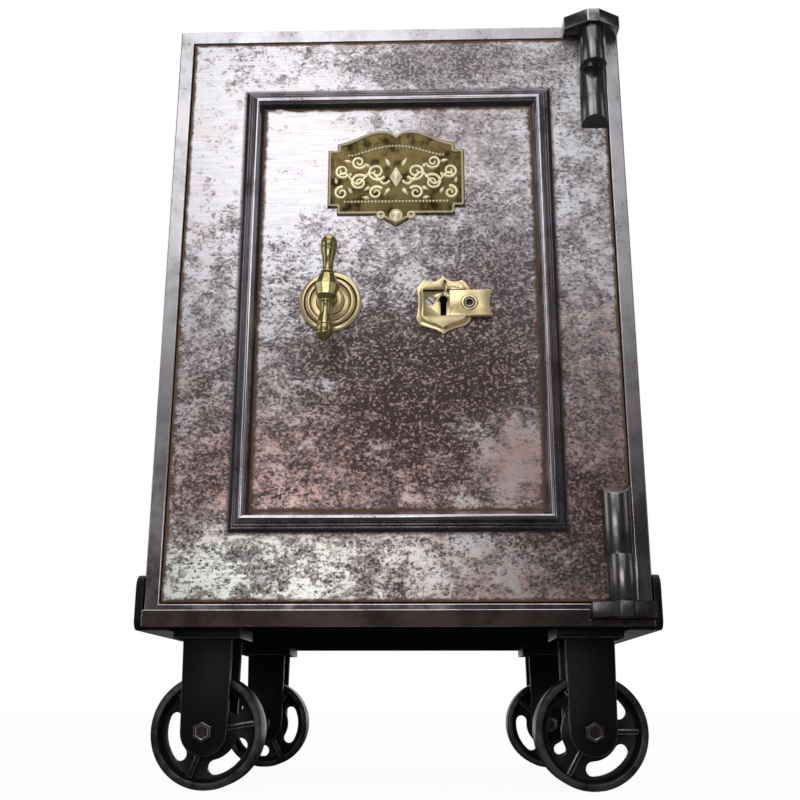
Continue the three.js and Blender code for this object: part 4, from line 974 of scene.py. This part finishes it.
def axle(key):
    """The bolt that a wheel turns on, with its nut."""
    x, y, out, _ = WHEELS[key]
    across = 8 / math.cos(math.pi / 6)
    head = turned("axle_head", [
        (0, 28.05), (across, 28.05), (across, 33.4), (across - 0.9, 34.55), (6.4, 34.6), (6.0, 34.3),
        (0, 34.3)], 6)
    shank = turned("axle_shank", [(0, 28.5), (6, 28.5), (6, -37.4), (5.2, -38.1), (0, -38.1)], 32)
    bolt = finished(joined("wheel_bolt_" + key, head, shank), BOLT_IRON, RIM_STEEL)
    soften(bolt, 0.5, 2, 28, 1)
    nut = turned("axle_hex", [
        (6.3, -28.05), (across, -28.05), (across, -35.1), (across - 1, -36.05), (6.3, -36.05),
        (6.3, -28.05)], 6)
    finished(nut, BOLT_IRON, RIM_STEEL)
    soften(nut, 0.4, 2, 28, 1)
    for part, cad in ((bolt, "axle_bolt_" + key), (nut, "axle_nut_" + key)):
        if out > 0:
            place(part, Vector(), Matrix.Rotation(math.pi, 4, "X"))
        facing(part, x, y, AXLE_Z)
        part.name = cad.replace("axle", "trolley")
        fitted(part, "case_and_trolley", "wheel_iron", cad)


def wheel(key):
    """A cast wheel: a flat rim, a thin web with three slots, three ribs and a long hub."""
    x, y, _, phase = WHEELS[key]
    half = [(12.0, 21.3), (12.6, 20.7), (13.0, 7.2), (13.9, 4.8), (15.8, 3.6), (40.2, 3.5), (42.0, 4.3),
            (43.2, 6.4), (44.0, 14.8), (44.7, 16.0), (49.8, 16.0), (50.5, 15.6), (50.7, 14.9)]
    section = [(6.3, -21.3)] + [(r, -h) for r, h in half] + half[::-1] + [(6.3, 21.3), (6.3, -21.3)]
    body = turned("wheel_body", section, 96)
    inner, outer, spread = 25.8, 38.8, 39.5      # radii of a slot, and half its length in degrees
    mean, end = 32.3, 6.5                        # middle radius of a slot, and radius of its round ends
    trim = math.degrees(end / mean)
    thirds = (0, 120, 240)
    for third in thirds:
        a0, a1 = phase + third - spread + trim, phase + third + spread - trim
        slot = arc(0, 0, outer, a0, a1, 14) + arc(*on_circle(mean, a1), end, a1, a1 + 180, 9)[1:-1]
        slot += arc(0, 0, inner, a1, a0, 14) + arc(*on_circle(mean, a0), end, a0 + 180, a0 + 360, 9)[1:-1]
        carve(body, blank("slot_tool", slot, -25, 25))
    finished(body, WHEEL_IRON, RIM_STEEL, WHEEL_FACE)
    mark(body, 2, lambda face: off_axis(face) > 44.3)
    soften(body, 0.6, 2, 42, 1)
    ribs = []
    for third in thirds:
        rib = finished(block("rib", (11.5, 43.4), (-2.75, 2.75), (-8.5, 8.5)), WHEEL_IRON, RIM_STEEL)
        soften(rib, 1.4, 3, 35, 1)
        ribs.append(place(rib, Vector(), Matrix.Rotation(math.radians(phase + 60 + third), 4, "Z")))
    whole = joined("trolley_wheel_" + key, body, *ribs)
    facing(whole, x, y, AXLE_Z)
    fitted(whole, "wheel_" + key, "wheel_iron", "wheel_" + key)


# Finishes and broken edges of the pieces that keep the model's own shape

def dress(names, finish, edge=0.5, rim=None):
    """Gives the model's own pieces their finish, and their broken edges the finish of rim."""
    for name in names:
        node = finished(nodes[name], finish, *([rim] if rim else []))
        if edge:
            node.modifiers.new("weld", "WELD").merge_threshold = 0.00001
            broken_edge(node, edge, 2, 40, 1 if rim else -1).harden_normals = True


def dress_model():
    """The solids that show as the model has them, with their finish and edges."""
    dress(["door_plate"], DOOR_IRON, 0.5)
    dress(["front_frame"], FRAME_IRON, 1.3, BRIGHT_EDGE)
    dress(["outer_casing", "back_plate"], CASE_IRON, 0.8)
    dress(["side_angle_left", "side_angle_right", "rear_rail"], BLACK_PAINT, 0.9, RUBBED_EDGE)
    # The deck takes the dull black: painted shade under the safe.
    dress(["deck_plate"], UNDERSIDE_SHADE, 0.9)
    dress(["front_rail"], RAIL_IRON, 0.9, BRIGHT_EDGE)
    dress(["door_jamb", "door_case", "bolt_space_plate", "shelf_batten_left", "shelf_batten_right",
           "lock_cover", "rack_guide_upper", "rack_guide_lower"], INNER_STEEL, 0.4)
    dress(["hinge_pin_top", "hinge_pin_bottom", "hinge_side_dog", "lock_case", "pinion_spindle", "rack_bar",
           "bolt_bar", "bolt_top", "bolt_middle", "bolt_bottom"], BRIGHT_STEEL, 0.3)
    dress(["inner_lining", "shelf"], LINING, 0.4)
    dress(["fire_filling", "door_filling"], FILLING, 0)
    dress(["lock_bolt"], HANDLE_BRASS, 0.2)


# Studio

def camera():
    """Low and close in front of the door, looking up at it."""
    yaw, pitch, roll = -0.0277433, 0.2795723, 0.00090711
    ahead = Vector((math.sin(yaw) * math.cos(pitch), math.cos(yaw) * math.cos(pitch), math.sin(pitch)))
    right = Vector((math.cos(yaw), -math.sin(yaw), 0))
    up = right.cross(ahead)
    across = math.cos(roll) * right + math.sin(roll) * up
    upright = -math.sin(roll) * right + math.cos(roll) * up
    turn = Matrix((across, upright, -ahead)).transposed().to_4x4()
    data = bpy.data.cameras.new("camera")
    data.sensor_width, data.lens = 36, 47.296
    eye = stand(bpy.data.objects.new("camera", data))
    eye.matrix_world = Matrix.Translation(spot(29.038, -954.381, 76.791)) @ turn
    bpy.context.scene.camera = eye


def soft_box(name, at, aim, wide, tall, bright):
    """A soft box of that brightness: 1 is white when it is seen in a mirror."""
    data = bpy.data.lights.new(name, "AREA")
    data.shape, data.size, data.size_y = "RECTANGLE", wide, tall
    data.energy = bright * math.pi * wide * tall
    lamp = stand(bpy.data.objects.new(name, data))
    lamp.location = at
    lamp.rotation_euler = (Vector(aim) - Vector(at)).to_track_quat("-Z", "Y").to_euler()


def shown(tree):
    """1 for what the camera, a mirror or a glass shows, 0 for the light that falls on the object."""
    path = tree.nodes.new("ShaderNodeLightPath")
    total = path.outputs["Is Camera Ray"]
    for ray in ("Is Glossy Ray", "Is Transmission Ray"):
        both = tree.nodes.new("ShaderNodeMath")
        both.operation = "MAXIMUM"
        tree.links.new(total, both.inputs[0])
        tree.links.new(path.outputs[ray], both.inputs[1])
        total = both.outputs[0]
    return total


def mixed(tree, where, lit, seen, output):
    """Shows seen where that is 1 and lit where it is 0."""
    mix = tree.nodes.new("ShaderNodeMixShader")
    tree.links.new(where, mix.inputs[0])
    tree.links.new(lit.outputs[0], mix.inputs[1])
    tree.links.new(seen.outputs[0], mix.inputs[2])
    tree.links.new(mix.outputs[0], tree.nodes[output].inputs["Surface"])


def white_room():
    """A soft, faintly blue light from all round, and a white background."""
    world = bpy.data.worlds.new("studio")
    bpy.context.scene.world = world
    world.use_nodes = True
    tree = world.node_tree
    lit = tree.nodes["Background"]
    lit.inputs["Color"].default_value = (0.93, 0.95, 1.0, 1)
    lit.inputs["Strength"].default_value = 0.75
    seen = tree.nodes.new("ShaderNodeBackground")
    seen.inputs["Color"].default_value = (1, 1, 1, 1)
    seen.inputs["Strength"].default_value = 1.0
    mixed(tree, shown(tree), lit, seen, "World Output")


def plain_shader(name, colour, roughness, gloss):
    """A material of one plain colour, and its shader."""
    material = bpy.data.materials.new(name)
    material.use_nodes = True
    shader = material.node_tree.nodes["Principled BSDF"]
    for socket, value in (("Base Color", colour), ("Roughness", roughness), ("Specular IOR Level", gloss)):
        shader.inputs[socket].default_value = value
    return material, shader


def pale_floor():
    """White paper, shown nearly as white as the background, that keeps a faint shadow."""
    clear()
    bpy.ops.mesh.primitive_plane_add(size=14, location=(0, 0, -0.0004))
    floor = named("floor")
    paper, shader = plain_shader("floor_paper", (0.86, 0.86, 0.86, 1), 0.9, 0.1)
    tree = paper.node_tree
    glow = tree.nodes.new("ShaderNodeEmission")
    glow.inputs["Color"].default_value = (1, 1, 1, 1)
    glow.inputs["Strength"].default_value = 1.0
    most = tree.nodes.new("ShaderNodeMath")
    most.operation = "MULTIPLY"
    most.inputs[1].default_value = 0.96
    tree.links.new(shown(tree), most.inputs[0])
    mixed(tree, most.outputs[0], shader, glow, "Material Output")
    floor.data.materials.append(paper)


def black_felt():
    """Black felt laid under the front and hung in a half round before it, seen only in polished metal."""
    clear()
    bpy.ops.mesh.primitive_circle_add(vertices=48, radius=3.0, location=(0, 0, 0.001), fill_type="NGON")
    felt = named("black_felt")
    settle()
    open_up(felt)
    bpy.ops.mesh.select_mode(type="EDGE")
    draw_up(2400)
    draw_up(1200)
    bpy.ops.transform.resize(value=(0.5, 0.5, 1), center_override=(0, 0, 3.6))
    bpy.ops.mesh.select_all(action="SELECT")
    bpy.ops.mesh.bisect(plane_co=(0, 0.7, 0), plane_no=(0, 1, 0), clear_outer=True)
    bpy.ops.object.mode_set(mode="OBJECT")
    felt.data.materials.append(plain_shader("black_felt", (0.06, 0.06, 0.064, 1), 1.0, 0.0)[0])
    for ray in ("camera", "diffuse", "shadow", "transmission", "volume_scatter"):
        setattr(felt, "visible_" + ray, False)


def studio():
    """The room, and lamps where the burnished door shows their reflections."""
    bpy.context.scene.view_settings.view_transform = "Standard"
    camera()
    white_room()
    pale_floor()
    black_felt()
    middle = (0, -0.2, 0.45)
    soft_box("window", (-0.315, -1.7, 1.39), (-0.1, -0.2, 0.5), 0.745, 0.82, 1.6)
    soft_box("right_window", (0.36, -1.7, 1.38), (0.1, -0.2, 0.55), 0.27, 0.6, 1.6)
    soft_box("right_low", (0.375, -1.7, 0.86), (0.1, -0.2, 0.4), 0.24, 0.44, 0.8)
    soft_box("low_window", (-0.24, -1.7, 0.36), (-0.1, -0.2, 0.3), 0.64, 0.28, 3.0)
    soft_box("overhead", (0, -1.3, 2.3), middle, 1.8, 0.9, 1.2)
    soft_box("left_fill", (-1.9, -0.9, 0.95), middle, 1.0, 1.4, 0.7)
    soft_box("left_wall", (-2.2, 0.4, 0.9), middle, 1.0, 1.4, 0.3)
    soft_box("right_fill", (1.7, -1.1, 0.9), (0, -0.1, 0.4), 0.5, 1.4, 0.5)


door_moulding()
handle()
lock_furniture()
brass_plate()
door_rivets()
case_rivets()
hinge("top", 742.3, CASE_TOP, -1)
hinge("bottom", CASE_LOW, 161.5, 1)
for wheel_key in WHEELS:
    fork(wheel_key)
    axle(wheel_key)
    wheel(wheel_key)
dress_model()
studio()
clear()
